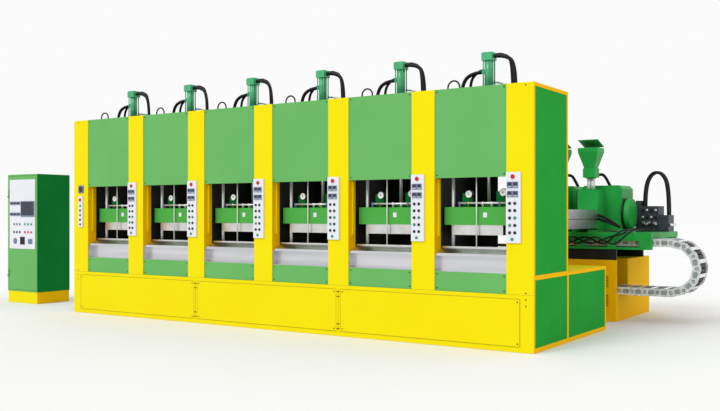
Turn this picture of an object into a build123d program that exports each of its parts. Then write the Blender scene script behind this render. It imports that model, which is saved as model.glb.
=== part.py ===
"""Six-station foam injection moulding machine with a travelling twin injection unit.

Frame: X along the row of stations, Y from the operator's side to the back, Z up, millimetres.
The origin is the middle of the press base's underside, on the floor.
"""
import os
from math import cos, degrees, pi, radians, sin, tan

from build123d import *

os.makedirs("parts", exist_ok=True)

# Fits and cuts
overrun = 20.0
cover_fit = 0.5
slide_fit = 0.4
running_fit = 0.08
bar_sides = 8
drum_sides = 18
sheet = 4.0

# Press: rows, posts and heights
stations = 6
station_pitch = 1185.0
post_width = 300.0
post_depth = 155.0
end_frame_depth = 15.0
press_height = 2900.0
tower_depth = 1020.0
base_depth = 2385.0
base_height = 820.0
ledge_height = 620.0
crown_height = 550.0
crown_drop = 20.0

# Press covers
front_cover_count = 3
front_cover_margin = 150.0
front_cover_gap = 10.0
front_cover_low = 60.0
front_cover_high = 572.0
front_cover_sheet = 6.0
end_bar = 40.0
end_recess = 10.0
end_panel_low = 50.0
end_panel_sheet = 6.0
panel_setback = 8.0
panel_flange = 35.0
opening_high = 1896.0
sill_high = 840.0
guard_slot = 250.0

# Station: table, tray, columns, platen and cylinder
table_width = 600.0
table_depth = 600.0
table_high = 1104.0
table_slot_width = 28.0
table_slot_depth = 40.0
table_slot_pitch = 200.0
press_axis = 500.0
column_radius = 20.0
column_half_span = 345.0
column_half_depth = 225.0
platen_width = 840.0
platen_depth = 600.0
platen_low = 1364.0
platen_high = 1568.0
heating_plate_width = 610.0
heating_plate_depth = 570.0
heating_plate_low = 1250.0
rod_radius = 20.0
rod_reach = 230.0
cylinder_radius = 52.0
cylinder_cap = 132.0
cylinder_cap_height = 94.0
cylinder_foot_height = 60.0
cylinder_height = 475.0
cylinder_port = 44.0
cylinder_port_reach = 28.0
low_port_height = 255.0
stroke_rod_radius = 8.0
stroke_rod_setback = 176.0
tray_sheet = 3.0
tray_front = 12.0
tray_apron = 92.0
tray_lip = 28.0
tray_lip_depth = 46.0
tray_lip_low = 1018.0
tray_lip_high = 1042.0
tray_rim_depth = 28.0
curtain_width = 22.0
curtain_depth = 30.0
curtain_setback = 40.0
curtain_low = 1235.0
curtain_top_gap = 8.0

# Control strips on the posts
strip_width = 168.0
strip_low = 1176.0
strip_high = 1942.0
strip_depth = 22.0
strip_inset = 4.0
master_width = 96.0
master_low = 1290.0
master_high = 1760.0

# Injection bed behind the press
bed_gap = 885.0
bed_setback = 150.0
bed_length = 7560.0
bed_depth = 1630.0
bed_height = 850.0
bed_wall = 60.0
rail_width = 44.0
rail_height = 150.0
rear_rail_inset = 320.0
tie_count = 3
tie_width = 140.0
tie_height = 100.0
tie_pitch = 2900.0

# Energy chain
chain_pitch = 174.0
chain_bend_links = 6
chain_width = 440.0
chain_channel = 470.0
chain_height = 110.0
chain_low = 426.0
chain_bend_reach = 716.0
chain_anchor_reach = 2474.0
chain_clearance = 0.3
chain_plate = 10.0
chain_side_gap = 0.5
chain_lap = 80.0
chain_corner = 36.0
chain_bar_width = 46.0
chain_bar_height = 10.0
chain_bar_inset = 14.0

# Injection carriage and its two units
carriage_reach = 480.0
carriage_length = 1980.0
carriage_deck = 78.0
carriage_skirt = 80.0
carriage_rear_overhang = 90.0
carriage_window_width = 340.0
carriage_window_height = 90.0
carriage_window_count = 4
carriage_window_pitch = 440.0
unit_pitch = 486.0
unit_park = 127.0
unit_axis_high = 1417.0
bearer_height = 28.0
bearer_width = 60.0
bearer_half_gap = 110.0
housing_front = 530.0
housing_length = 530.0
housing_inner = 200.0
housing_outer = 400.0
housing_high = 1900.0
housing_bevel = 45.0
nose_width = 300.0
nose_front = 235.0
nose_high = 1837.0
ram_radius = 95.0
ram_length = 450.0
barrel_radius = 70.0
barrel_bore = 30.0
barrel_length = 1330.0
nozzle_radius = 34.0
nozzle_length = 640.0
nozzle_tip_radius = 14.0
nozzle_tip_length = 60.0
screw_length = 1300.0
shroud_width = 330.0
shroud_low = 1287.0
shroud_high = 1547.0
shroud_wall = 6.0
shroud_length = 1230.0
hopper_setback = 140.0
hopper_mouth = 290.0
hopper_neck = 150.0
hopper_wall = 6.0
hopper_rim_height = 60.0
hopper_cone_height = 230.0
throat_width = 180.0
throat_height = 134.0
sight_height = 175.0
sight_width = 120.0
sight_wall = 10.0
lid_thickness = 8.0
lid_open_angle = 18.0
lid_lift = 14.0
lid_knuckle_radius = 9.0
lid_pin_radius = 5.0
lid_knuckle_length = 90.0
lid_lug_length = 20.0
motor_radius = 215.0
motor_length = 120.0
motor_setback = 130.0
motor_high = 1490.0
manifold_width = 470.0
manifold_depth = 300.0
manifold_height = 370.0
manifold_step_width = 140.0
manifold_step_height = 240.0
manifold_setback = 1030.0
valve_width = 70.0
valve_length = 70.0
valve_height = 80.0
valve_pitch = 100.0

# Control cabinet
cabinet_gap = 1430.0
cabinet_setback = 400.0
cabinet_width = 780.0
cabinet_depth = 650.0
cabinet_height = 2150.0
cabinet_wall = 24.0
plinth_height = 190.0
plinth_inset = 6.0
door_thickness = 26.0
door_fit = 4.0
door_knuckle_radius = 10.0
door_pin_radius = 5.0
door_knuckle_length = 90.0
door_lug_length = 22.0
door_hinge_shares = (0.15, 0.85)
panel_inset = 24.0
panel_low = 905.0
panel_high = 2062.0
panel_sheet = 5.0
screen_width = 330.0
screen_height = 250.0
screen_proud = 8.0
screen_low_rise = 540.0
screen_side = 30.0
wiring_sheet = 8.0
wiring_margin = 90.0
duct_depth = 60.0
duct_height = 50.0
duct_count = 4
duct_pitch = 360.0

# Hoses
hose_diameter = 44.0
bend_share = 0.45

# Places worked out from the driving sizes
opening_width = station_pitch - post_width
press_length = stations * station_pitch + post_width + 2 * end_frame_depth
right = press_length / 2
frame_right = right - end_frame_depth
front = -base_depth / 2
rear = base_depth / 2
tower_back = front + tower_depth
crown_top = press_height - crown_drop
crown_low = crown_top - crown_height
press_y = front + press_axis
station_x = [(k - (stations - 1) / 2) * station_pitch for k in range(stations)]
post_x = [(k - stations / 2) * station_pitch for k in range(stations + 1)]
cylinder_top = crown_top + cylinder_height
bed_front = rear + bed_gap
bed_rear = bed_front + bed_depth
bed_right = right - bed_setback
bed_left = bed_right - bed_length
rail_top = bed_height + rail_height
chain_floor = chain_low - chain_height / 2 - chain_clearance
chain_y = bed_front + bed_wall + chain_channel / 2
chain_half_turn = pi / (2 * chain_bend_links)
chain_radius = chain_pitch / (2 * sin(chain_half_turn))
chain_high = chain_low + 2 * chain_radius
bend_x = bed_right + chain_bend_reach
anchor_x = bed_right - chain_anchor_reach
carriage_right = bed_right + carriage_reach
carriage_left = carriage_right - carriage_length
carriage_deck_low = chain_high + chain_height / 2 + cover_fit
deck_top = carriage_deck_low + carriage_deck
front_rail_y = bed_front + bed_wall / 2
rear_rail_y = bed_rear - rear_rail_inset
carriage_front = front_rail_y - carriage_skirt / 2
carriage_rear = rear_rail_y + carriage_rear_overhang
bearer_top = deck_top + bearer_height
housing_low = bearer_top + slide_fit
housing_y = bed_front + housing_front
nose_y = bed_front + nose_front
hopper_y = nose_y + hopper_setback
throat_low = nose_high + sight_height
hopper_low = throat_low + throat_height
hopper_high = hopper_low + hopper_cone_height + hopper_rim_height
units = [
    (1, station_x[-1] + unit_park - unit_pitch, -1),
    (2, station_x[-1] + unit_park, 1),
]


def block(x, y, z, mode=Mode.ADD):
    """Add or cut a straight block between three (low, high) pairs."""
    centre = [(pair[0] + pair[1]) / 2 for pair in (x, y, z)]
    with Locations(tuple(centre)):
        Box(x[1] - x[0], y[1] - y[0], z[1] - z[0], mode=mode)


def around(middle, width):
    """Return the (low, high) pair of a width about its middle."""
    return (middle - width / 2, middle + width / 2)


def post(x, y, z_low, z_high, radius, mode=Mode.ADD):
    """Add an upright many-sided bar between two heights, or cut a hole that clears one."""
    with BuildSketch(Plane.XY.offset(z_low)) as disc:
        with Locations((x, y)):
            RegularPolygon(radius, bar_sides, major_radius=mode == Mode.ADD)
    extrude(disc.sketch, amount=z_high - z_low, mode=mode)


def turned_pin(foot, length, radius):
    """Add a round pin on a foot plane, along the plane's normal."""
    with BuildSketch(foot) as disc:
        Circle(radius)
    extrude(disc.sketch, amount=length)


def side_profile(points, x_low, x_high, mode=Mode.ADD):
    """Extrude an outline given as (y, z) points from x_low to x_high."""
    with BuildSketch(Plane.YZ.offset(x_low)) as outline:
        with BuildLine():
            Polyline(*points, close=True)
        make_face()
    extrude(outline.sketch, amount=x_high - x_low, mode=mode)


def finish(piece, name):
    """Name a finished sub-part and write its file."""
    piece.part.label = name
    export_step(piece.part, f"parts/{name}.step")


def hose(points, diameter):
    """Sweep a plain square-section hose, bent across Y, along runs joined by wide arcs."""
    corners = [Vector(*point) for point in points]
    runs = [b - a for a, b in zip(corners, corners[1:])]
    radii = []
    for before, after in zip(runs, runs[1:]):
        turn = before.get_angle(after)
        radii.append(bend_share * min(before.length, after.length) / tan(radians(turn) / 2))
    with BuildLine() as path:
        FilletPolyline(*corners, radius=radii)
    with BuildSketch(Plane(origin=corners[0], x_dir=(0, 1, 0), z_dir=runs[0])) as section:
        Rectangle(diameter, diameter)
    sweep(section.sketch, path=path.wire())


# Press base: a welded box with a front ledge under the posts and framed end walls
end_bays = [
    (front + end_bar, tower_back - end_bar / 2),
    (tower_back + end_bar / 2, rear - end_bar),
]
with BuildPart() as press_base:
    side_profile(
        [
            (front, 0),
            (rear, 0),
            (rear, base_height),
            (front + post_depth, base_height),
            (front + post_depth, ledge_height),
            (front, ledge_height),
        ],
        -right,
        right,
    )
    for end in (-1, 1):
        for bay in end_bays:
            depth = sorted((end * right, end * (right - end_recess)))
            block(depth, bay, (end_panel_low, base_height - end_bar), Mode.SUBTRACT)
finish(press_base, "press_base")

# Bolt-on front covers of the base
cover_span = (press_length - 2 * front_cover_margin) / front_cover_count
with BuildPart() as base_front_covers:
    for k in range(front_cover_count):
        low = -right + front_cover_margin + k * cover_span
        block(
            (low + front_cover_gap / 2, low + cover_span - front_cover_gap / 2),
            (front - front_cover_sheet, front),
            (front_cover_low, front_cover_high),
        )
finish(base_front_covers, "base_front_covers")

# Yellow frames that close the tower's ends
with BuildPart() as tower_end_frames:
    for end in (-1, 1):
        span = sorted((end * right, end * frame_right))
        side_profile(
            [
                (front, ledge_height),
                (front + post_depth, ledge_height),
                (front + post_depth, base_height),
                (tower_back, base_height),
                (tower_back, press_height),
                (front, press_height),
            ],
            *span,
        )
        recess = sorted((end * right, end * (right - end_recess)))
        block(
            recess,
            (front + end_bar, tower_back - end_bar),
            (base_height + end_recess, press_height - end_bar),
            Mode.SUBTRACT,
        )
        block(recess, end_bays[0], (end_panel_low, base_height - end_bar), Mode.SUBTRACT)
finish(tower_end_frames, "tower_end_frames")

# Green end panels let into the base and the tower frames
with BuildPart() as end_panels:
    for end in (-1, 1):
        seat = end * (right - end_recess)
        span = sorted((seat, seat + end * end_panel_sheet))
        for bay in end_bays:
            block(
                span,
                (bay[0] + cover_fit, bay[1] - cover_fit),
                (end_panel_low + cover_fit, base_height - end_bar - cover_fit),
            )
        block(
            span,
            (front + end_bar + cover_fit, tower_back - end_bar - cover_fit),
            (base_height + end_recess + cover_fit, press_height - end_bar - cover_fit),
        )
finish(end_panels, "end_panels")

# Folded yellow posts between the stations, open to the back
with BuildPart() as front_posts:
    for x in post_x:
        block(around(x, post_width), (front, front + post_depth), (ledge_height, press_height))
        block(
            around(x, post_width - 2 * sheet),
            (front + sheet, front + post_depth + overrun),
            (ledge_height - overrun, press_height - sheet),
            Mode.SUBTRACT,
        )
finish(front_posts, "front_posts")

# Black side frames that carry the crown, with a nose inside each folded post
with BuildPart() as side_frames:
    for x in post_x:
        side_profile(
            [
                (front + sheet, ledge_height),
                (front + post_depth, ledge_height),
                (front + post_depth, base_height),
                (tower_back, base_height),
                (tower_back, crown_low),
                (front + sheet, crown_low),
            ],
            *around(x, post_width - 2 * sheet - 2 * cover_fit),
        )
finish(side_frames, "side_frames")

# Crown girder across all stations, bored for the clamp rods
with BuildPart() as crown:
    block((-frame_right, frame_right), (front + post_depth, tower_back), (crown_low, crown_top))
    for x in station_x:
        post(x, press_y, crown_low - overrun, crown_top + overrun, rod_radius + slide_fit, Mode.SUBTRACT)
finish(crown, "crown")


def tray_cover(x, z_low, z_high):
    """Make one folded green cover between two posts, open to the back."""
    width = opening_width - 2 * cover_fit
    face = front + panel_setback
    block(around(x, width), (face, face + panel_flange), (z_low, z_high))
    block(
        around(x, width - 2 * sheet),
        (face + sheet, face + panel_flange + overrun),
        (z_low + sheet, z_high - sheet),
        Mode.SUBTRACT,
    )


# Upper covers, one to a station
with BuildPart() as upper_covers:
    for x in station_x:
        tray_cover(x, opening_high, press_height)
finish(upper_covers, "upper_covers")

# Sill covers under the openings
with BuildPart() as sill_covers:
    for x in station_x:
        tray_cover(x, ledge_height, sill_high)
finish(sill_covers, "sill_covers")

# Stainless trays: a recessed apron, a folded lip and a sloping trough up to the mould table
rim_back = press_y - table_depth / 2
apron_y = front + tray_apron
lip_y = front + tray_lip
trough_y = lip_y + tray_lip_depth
rim_y = rim_back - tray_rim_depth
with BuildPart() as sill_trays:
    for x in station_x:
        side_profile(
            [
                (front + tray_front, sill_high),
                (apron_y, sill_high),
                (apron_y, tray_lip_low),
                (lip_y, tray_lip_low),
                (lip_y, tray_lip_high),
                (trough_y, tray_lip_high),
                (rim_y, table_high - tray_sheet),
                (rim_back, table_high - tray_sheet),
                (rim_back, table_high),
                (rim_y, table_high),
                (trough_y, tray_lip_high + tray_sheet),
                (lip_y - tray_sheet, tray_lip_high + tray_sheet),
                (lip_y - tray_sheet, tray_lip_low - tray_sheet),
                (apron_y - tray_sheet, tray_lip_low - tray_sheet),
                (apron_y - tray_sheet, sill_high + tray_sheet),
                (front + tray_front, sill_high + tray_sheet),
            ],
            *around(x, opening_width - 2 * cover_fit),
        )
finish(sill_trays, "sill_trays")

# Mould tables with clamping slots
with BuildPart() as mould_tables:
    for x in station_x:
        block(around(x, table_width), around(press_y, table_depth), (base_height, table_high))
        for side in (-1, 1):
            block(
                around(x + side * table_slot_pitch / 2, table_slot_width),
                around(press_y, table_depth + overrun),
                (table_high - table_slot_depth, table_high + overrun),
                Mode.SUBTRACT,
            )
finish(mould_tables, "mould_tables")

# Guide columns from the base to the crown, a pair at opposite corners of each station
with BuildPart() as guide_columns:
    for x in station_x:
        for side in (-1, 1):
            place = (x + side * column_half_span, press_y + side * column_half_depth)
            post(*place, base_height, crown_low, column_radius)
finish(guide_columns, "guide_columns")

# Stroke rods that stand on the tray rims in front of the platens
with BuildPart() as stroke_rods:
    for x in station_x:
        post(x, front + stroke_rod_setback, table_high, crown_low, stroke_rod_radius)
finish(stroke_rods, "stroke_rods")

# Light curtains on the inner sides of the posts
with BuildPart() as light_curtains:
    for x in station_x:
        for side in (-1, 1):
            wall = x + side * opening_width / 2
            curtain_y = front + curtain_setback + panel_flange
            block(
                sorted((wall, wall - side * curtain_width)),
                (curtain_y, curtain_y + curtain_depth),
                (curtain_low, opening_high - curtain_top_gap),
            )
finish(light_curtains, "light_curtains")

# Black rear guards beside the nozzle slots
with BuildPart() as rear_guards:
    for x in station_x:
        for side in (-1, 1):
            block(
                sorted((x + side * guard_slot / 2, x + side * (opening_width / 2 + sheet))),
                (tower_back - sheet, tower_back),
                (base_height, crown_low),
            )
finish(rear_guards, "rear_guards")

# Clamp cylinders on the crown: foot, tube, cap and hose port
port_high = crown_top + cylinder_height - cylinder_cap_height / 2
port_low = crown_top + low_port_height
with BuildPart() as clamp_cylinders:
    for x in station_x:
        block(
            around(x, cylinder_cap),
            around(press_y, cylinder_cap),
            (crown_top, crown_top + cylinder_foot_height),
        )
        with BuildSketch(Plane.XY.offset(crown_top)):
            with Locations((x, press_y)):
                RegularPolygon(cylinder_radius, drum_sides)
        extrude(amount=cylinder_height)
        block(
            around(x, cylinder_cap),
            around(press_y, cylinder_cap),
            (cylinder_top - cylinder_cap_height, cylinder_top),
        )
        block(
            (x - cylinder_radius - cylinder_port_reach, x),
            around(press_y, cylinder_port),
            around(port_low, cylinder_port),
        )
finish(clamp_cylinders, "clamp_cylinders")

# Moving platens: a beam notched round its guide columns, with the plunger rod on top
for number, x in enumerate(station_x, start=1):
    with BuildPart() as platen:
        block(around(x, platen_width), around(press_y, platen_depth), (platen_low, platen_high))
        for side in (-1, 1):
            inner = x + side * (column_half_span - column_radius - slide_fit)
            block(
                sorted((inner, x + side * (platen_width / 2 + overrun))),
                around(press_y + side * column_half_depth, 2 * (column_radius + slide_fit)),
                (platen_low - overrun, platen_high + overrun),
                Mode.SUBTRACT,
            )
        post(x, press_y, platen_high, crown_low + rod_reach, rod_radius)
    finish(platen, f"platen_{number}")

# Heating plates bolted under the platens
for number, x in enumerate(station_x, start=1):
    with BuildPart() as heating_plate:
        block(
            around(x, heating_plate_width),
            around(press_y, heating_plate_depth),
            (heating_plate_low, platen_low),
        )
    finish(heating_plate, f"heating_plate_{number}")

# Control strips on the post to the right of each station, and the master strip on the first post
with BuildPart() as control_strips:
    for x in station_x:
        left = x + opening_width / 2 + strip_inset
        block((left, left + strip_width), (front - strip_depth, front), (strip_low, strip_high))
    block(
        around(post_x[0], master_width),
        (front - strip_depth, front),
        (master_low, master_high),
    )
finish(control_strips, "control_strips")

# Injection bed: a long box with an open channel for the energy chain
with BuildPart() as injection_bed:
    side_profile(
        [
            (bed_front, 0),
            (bed_rear, 0),
            (bed_rear, bed_height),
            (bed_front + bed_wall + chain_channel, bed_height),
            (bed_front + bed_wall + chain_channel, chain_floor),
            (bed_front + bed_wall, chain_floor),
            (bed_front + bed_wall, bed_height),
            (bed_front, bed_height),
        ],
        bed_left,
        bed_right,
    )
finish(injection_bed, "injection_bed")

# Black travel rails on the bed
with BuildPart() as travel_rails:
    for y in (front_rail_y, rear_rail_y):
        block((bed_left, bed_right), around(y, rail_width), (bed_height, rail_top))
finish(travel_rails, "travel_rails")

# Floor ties between the press base and the bed
with BuildPart() as floor_ties:
    for k in range(tie_count):
        x = (k - (tie_count - 1) / 2) * tie_pitch
        block(around(x, tie_width), (rear, bed_front), (0, tie_height))
finish(floor_ties, "floor_ties")


def chain_links(places):
    """Add chain links at (x, z, heading, layer) places: two plates and an outer bar to each.

    Plates of neighbouring links lie in two layers, so that they pass beside each other.
    """
    half = (chain_pitch + chain_lap) / 2
    up = chain_height / 2
    half_plate = [
        (half, 0),
        (half - chain_corner, up),
        (chain_corner - half, up),
    ]
    outline = half_plate + [(-along, -across) for along, across in half_plate]
    for layer in (0, 1):
        rows = [place for place in places if place[3] == layer]
        outer = chain_width / 2 - layer * (chain_plate + chain_side_gap)
        with BuildSketch(Plane.XZ.offset(-chain_y)) as plates:
            for x, z, heading, _ in rows:
                with Locations(Location((x, z), heading)):
                    Polygon(*outline)
        with BuildSketch(Plane.XZ.offset(-chain_y)) as bars:
            for x, z, heading, _ in rows:
                with Locations(Location((x, z), heading)):
                    with Locations((0, chain_bar_inset - up)):
                        Rectangle(chain_bar_width, chain_bar_height)
        extrude(plates.sketch, amount=outer, both=True)
        extrude(plates.sketch, amount=outer - chain_plate, both=True, mode=Mode.SUBTRACT)
        extrude(bars.sketch, amount=outer - chain_plate, both=True)


def straight_run(x_low, x_high, height, heading, first_layer):
    """Return the places of a straight row of links, counted from the bend."""
    count = int((x_high - x_low) / chain_pitch)
    return [
        (x_high - (k + 1 / 2) * chain_pitch, height, heading, (first_layer + k) % 2)
        for k in range(count)
    ]


# Energy chain: lower run in the bed's channel, bend, and upper run under the carriage
middle_radius = chain_radius * cos(chain_half_turn)
bend_places = []
for k in range(chain_bend_links):
    angle = -pi / 2 + (2 * k + 1) * chain_half_turn
    bend_places.append(
        (
            bend_x + middle_radius * cos(angle),
            chain_low + chain_radius + middle_radius * sin(angle),
            degrees(angle + pi / 2),
            (k + 1) % 2,
        )
    )
with BuildPart() as chain_lower_run:
    chain_links(straight_run(anchor_x, bend_x, chain_low, 0, 0))
finish(chain_lower_run, "chain_lower_run")

with BuildPart() as chain_bend:
    chain_links(bend_places)
finish(chain_bend, "chain_bend")

with BuildPart() as chain_upper_run:
    first_layer = (chain_bend_links + 1) % 2
    chain_links(straight_run(carriage_left, bend_x, chain_high, degrees(pi), first_layer))
finish(chain_upper_run, "chain_upper_run")

# Carriage: a deck on two skirts that bridge the chain and run on the rails
window_middle = (carriage_left + carriage_right) / 2
with BuildPart() as carriage:
    side_profile(
        [
            (carriage_front, rail_top + slide_fit),
            (carriage_front + carriage_skirt, rail_top + slide_fit),
            (carriage_front + carriage_skirt, carriage_deck_low),
            (rear_rail_y - carriage_skirt / 2, carriage_deck_low),
            (rear_rail_y - carriage_skirt / 2, rail_top + slide_fit),
            (rear_rail_y + carriage_skirt / 2, rail_top + slide_fit),
            (rear_rail_y + carriage_skirt / 2, carriage_deck_low),
            (carriage_rear, carriage_deck_low),
            (carriage_rear, deck_top),
            (carriage_front, deck_top),
        ],
        carriage_left,
        carriage_right,
    )
    for k in range(carriage_window_count):
        x = window_middle + (k - (carriage_window_count - 1) / 2) * carriage_window_pitch
        block(
            around(x, carriage_window_width),
            (carriage_front - overrun, carriage_front + carriage_skirt + overrun),
            around((rail_top + carriage_deck_low) / 2, carriage_window_height),
            Mode.SUBTRACT,
        )
    for number, x, side in units:
        for edge in (-1, 1):
            block(
                around(x + edge * bearer_half_gap, bearer_width),
                (carriage_front, carriage_rear),
                (deck_top, bearer_top),
            )
finish(carriage, "carriage")

# Stepped valve manifold on the carriage's right end, with its row of valves
manifold_left = carriage_right - manifold_width
manifold_y = around(bed_front + manifold_setback, manifold_depth)
manifold_top = deck_top + manifold_height
step_left = carriage_right - manifold_step_width
step_top = deck_top + manifold_step_height
with BuildPart() as valve_manifold:
    block((manifold_left, step_left), manifold_y, (deck_top, manifold_top))
    block((step_left, carriage_right), manifold_y, (deck_top, step_top))
    for row in (-1, 0, 1):
        block(
            (manifold_left, manifold_left + valve_length),
            around(sum(manifold_y) / 2 + row * valve_pitch, valve_width),
            (manifold_top, manifold_top + valve_height),
        )
finish(valve_manifold, "valve_manifold")


def along_y(x, z, y_low, y_high, radius, mode=Mode.ADD):
    """Add a many-sided bar that lies along Y, or cut a hole that clears one."""
    with BuildSketch(Plane.XZ.offset(-y_low)) as disc:
        with Locations((x, z)):
            RegularPolygon(radius, bar_sides, major_radius=mode == Mode.ADD)
    extrude(disc.sketch, amount=y_low - y_high, mode=mode)


def along_x(y, z, x_low, x_high, radius, mode=Mode.ADD):
    """Add a many-sided bar that lies along X, or cut a hole that clears one."""
    with BuildSketch(Plane.YZ.offset(x_low)) as disc:
        with Locations((y, z)):
            RegularPolygon(radius, bar_sides, major_radius=mode == Mode.ADD)
    extrude(disc.sketch, amount=x_high - x_low, mode=mode)


# Injection units: housing with feed nose, ram and motor drum, then barrel, screw, shroud, hopper and lid
barrel_front = nose_y - barrel_length
nozzle_front = barrel_front - nozzle_length
rim_low = hopper_high - hopper_rim_height
hopper_inset = (hopper_mouth - hopper_neck) / 2
hinge_y = hopper_y + hopper_mouth / 2 + lid_knuckle_radius
hinge_z = hopper_high + lid_lift
for number, x, side in units:
    outer = x + side * housing_outer
    with BuildPart() as housing:
        block(
            sorted((x - side * housing_inner, outer)),
            (housing_y, housing_y + housing_length),
            (housing_low, housing_high),
        )
        top = housing.edges().filter_by(Axis.Y).sort_by(Axis.Z)[-2:]
        chamfer(top, housing_bevel)
        block(around(x, nose_width), (nose_y, housing_y), (housing_low, nose_high))
        along_y(x, unit_axis_high, housing_y, housing_y + housing_length + ram_length, ram_radius)
        along_y(x, unit_axis_high, nose_y - overrun, housing_y, barrel_bore + slide_fit, Mode.SUBTRACT)
        with BuildSketch(Plane.YZ.offset(outer)):
            with Locations((housing_y + motor_setback, motor_high)):
                RegularPolygon(motor_radius, drum_sides)
        extrude(amount=side * motor_length)
    finish(housing, f"injector_housing_{number}")

    with BuildPart() as barrel:
        along_y(x, unit_axis_high, barrel_front, nose_y, barrel_radius)
        along_y(x, unit_axis_high, nozzle_front, barrel_front, nozzle_radius)
        along_y(x, unit_axis_high, nozzle_front - nozzle_tip_length, nozzle_front, nozzle_tip_radius)
        along_y(x, unit_axis_high, barrel_front, nose_y + overrun, barrel_bore, Mode.SUBTRACT)
    finish(barrel, f"barrel_{number}")

    with BuildPart() as screw:
        foot = Plane(origin=(x, housing_y, unit_axis_high), z_dir=(0, -1, 0))
        turned_pin(foot, screw_length, barrel_bore - running_fit)
    finish(screw, f"screw_{number}")

    with BuildPart() as shroud:
        shroud_y = (nose_y - shroud_length, nose_y)
        block(around(x, shroud_width), shroud_y, (shroud_low, shroud_high))
        block(
            around(x, shroud_width - 2 * shroud_wall),
            (shroud_y[0] + shroud_wall, shroud_y[1] + overrun),
            (shroud_low + shroud_wall, shroud_high - shroud_wall),
            Mode.SUBTRACT,
        )
        along_y(
            x,
            unit_axis_high,
            shroud_y[0] - overrun,
            shroud_y[0] + overrun,
            barrel_radius + cover_fit,
            Mode.SUBTRACT,
        )
    finish(shroud, f"shroud_{number}")

    with BuildPart() as sight_glass:
        block(around(x, sight_width), around(hopper_y, sight_width), (nose_high, throat_low))
        block(
            around(x, sight_width - 2 * sight_wall),
            around(hopper_y, sight_width - 2 * sight_wall),
            (nose_high - overrun, throat_low + overrun),
            Mode.SUBTRACT,
        )
    finish(sight_glass, f"sight_glass_{number}")

    with BuildPart() as hopper:
        block(around(x, throat_width), around(hopper_y, throat_width), (throat_low, hopper_low))
        for trim, mode in ((0, Mode.ADD), (2 * hopper_wall, Mode.SUBTRACT)):
            width = hopper_mouth - trim
            corners = (hopper_inset, hopper_inset, width - hopper_inset, width - hopper_inset)
            with Locations((x, hopper_y, hopper_low + hopper_cone_height / 2)):
                Wedge(width, hopper_cone_height, width, *corners, rotation=(-90, 0, 0), mode=mode)
            block(
                around(x, width),
                around(hopper_y, width),
                (rim_low, hopper_high),
                mode,
            )
        block(
            around(x, sight_width - 2 * sight_wall),
            around(hopper_y, sight_width - 2 * sight_wall),
            (throat_low - overrun, hopper_low + overrun),
            Mode.SUBTRACT,
        )
        for edge in (-1, 1):
            lug = x + edge * (lid_knuckle_length / 2 + slide_fit)
            block(
                sorted((lug, lug + edge * lid_lug_length)),
                (hinge_y - lid_knuckle_radius, hinge_y + lid_knuckle_radius),
                (rim_low, hinge_z + lid_knuckle_radius),
            )
        pin_length = lid_knuckle_length + 2 * lid_lug_length
        foot = Plane(origin=(x - pin_length / 2, hinge_y, hinge_z), z_dir=(1, 0, 0))
        turned_pin(foot, pin_length, lid_pin_radius)
    finish(hopper, f"hopper_{number}")

    with BuildPart() as hopper_lid:
        along_x(hinge_y, hinge_z, *around(x, lid_knuckle_length), lid_knuckle_radius)
        tilt = Plane(origin=(x, hinge_y, hinge_z), x_dir=(1, 0, 0), z_dir=(0, 0, 1))
        tilted = tilt.rotated((-lid_open_angle, 0, 0))
        with BuildSketch(tilted) as leaf:
            leaf_gap = lid_knuckle_radius + hopper_wall
            with Locations((0, -leaf_gap - hopper_mouth / 2)):
                Rectangle(hopper_mouth, hopper_mouth)
            with Locations((0, -leaf_gap / 2)):
                Rectangle(lid_knuckle_length, leaf_gap)
        extrude(leaf.sketch, amount=lid_thickness)
        along_x(
            hinge_y,
            hinge_z,
            *around(x, lid_knuckle_length + overrun),
            lid_pin_radius + running_fit,
            Mode.SUBTRACT,
        )
    finish(hopper_lid, f"hopper_lid_{number}")

# Control cabinet: plinth, shell open to the front, wiring plate, hinged door and its panel
cabinet_right = -right - cabinet_gap
cabinet_left = cabinet_right - cabinet_width
cabinet_front = front + cabinet_setback
cabinet_rear = cabinet_front + cabinet_depth
with BuildPart() as cabinet_plinth:
    block(
        (cabinet_left + plinth_inset, cabinet_right - plinth_inset),
        (cabinet_front + plinth_inset, cabinet_rear - plinth_inset),
        (0, plinth_height),
    )
finish(cabinet_plinth, "cabinet_plinth")

door_x = (cabinet_left + cabinet_wall + door_fit, cabinet_right - cabinet_wall - door_fit)
door_z = (plinth_height + cabinet_wall + door_fit, cabinet_height - cabinet_wall - door_fit)
door_hinge_x = door_x[0]
door_hinge_y = cabinet_front - door_knuckle_radius
door_hinge_z = [
    door_z[0] + (door_z[1] - door_z[0]) * share for share in door_hinge_shares
]
with BuildPart() as cabinet_shell:
    block((cabinet_left, cabinet_right), (cabinet_front, cabinet_rear), (plinth_height, cabinet_height))
    block(
        (cabinet_left + cabinet_wall, cabinet_right - cabinet_wall),
        (cabinet_front - overrun, cabinet_rear - cabinet_wall),
        (plinth_height + cabinet_wall, cabinet_height - cabinet_wall),
        Mode.SUBTRACT,
    )
    for z in door_hinge_z:
        low = z - door_knuckle_length / 2 - slide_fit - door_lug_length
        block(
            (cabinet_left, door_hinge_x - slide_fit),
            (door_hinge_y - door_knuckle_radius, cabinet_front),
            (low, low + door_lug_length),
        )
        post(door_hinge_x, door_hinge_y, low, low + door_lug_length, door_knuckle_radius - slide_fit)
        foot = Plane(origin=(door_hinge_x, door_hinge_y, low))
        turned_pin(foot, z + door_knuckle_length / 2 - low, door_pin_radius)
finish(cabinet_shell, "cabinet_shell")

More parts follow.
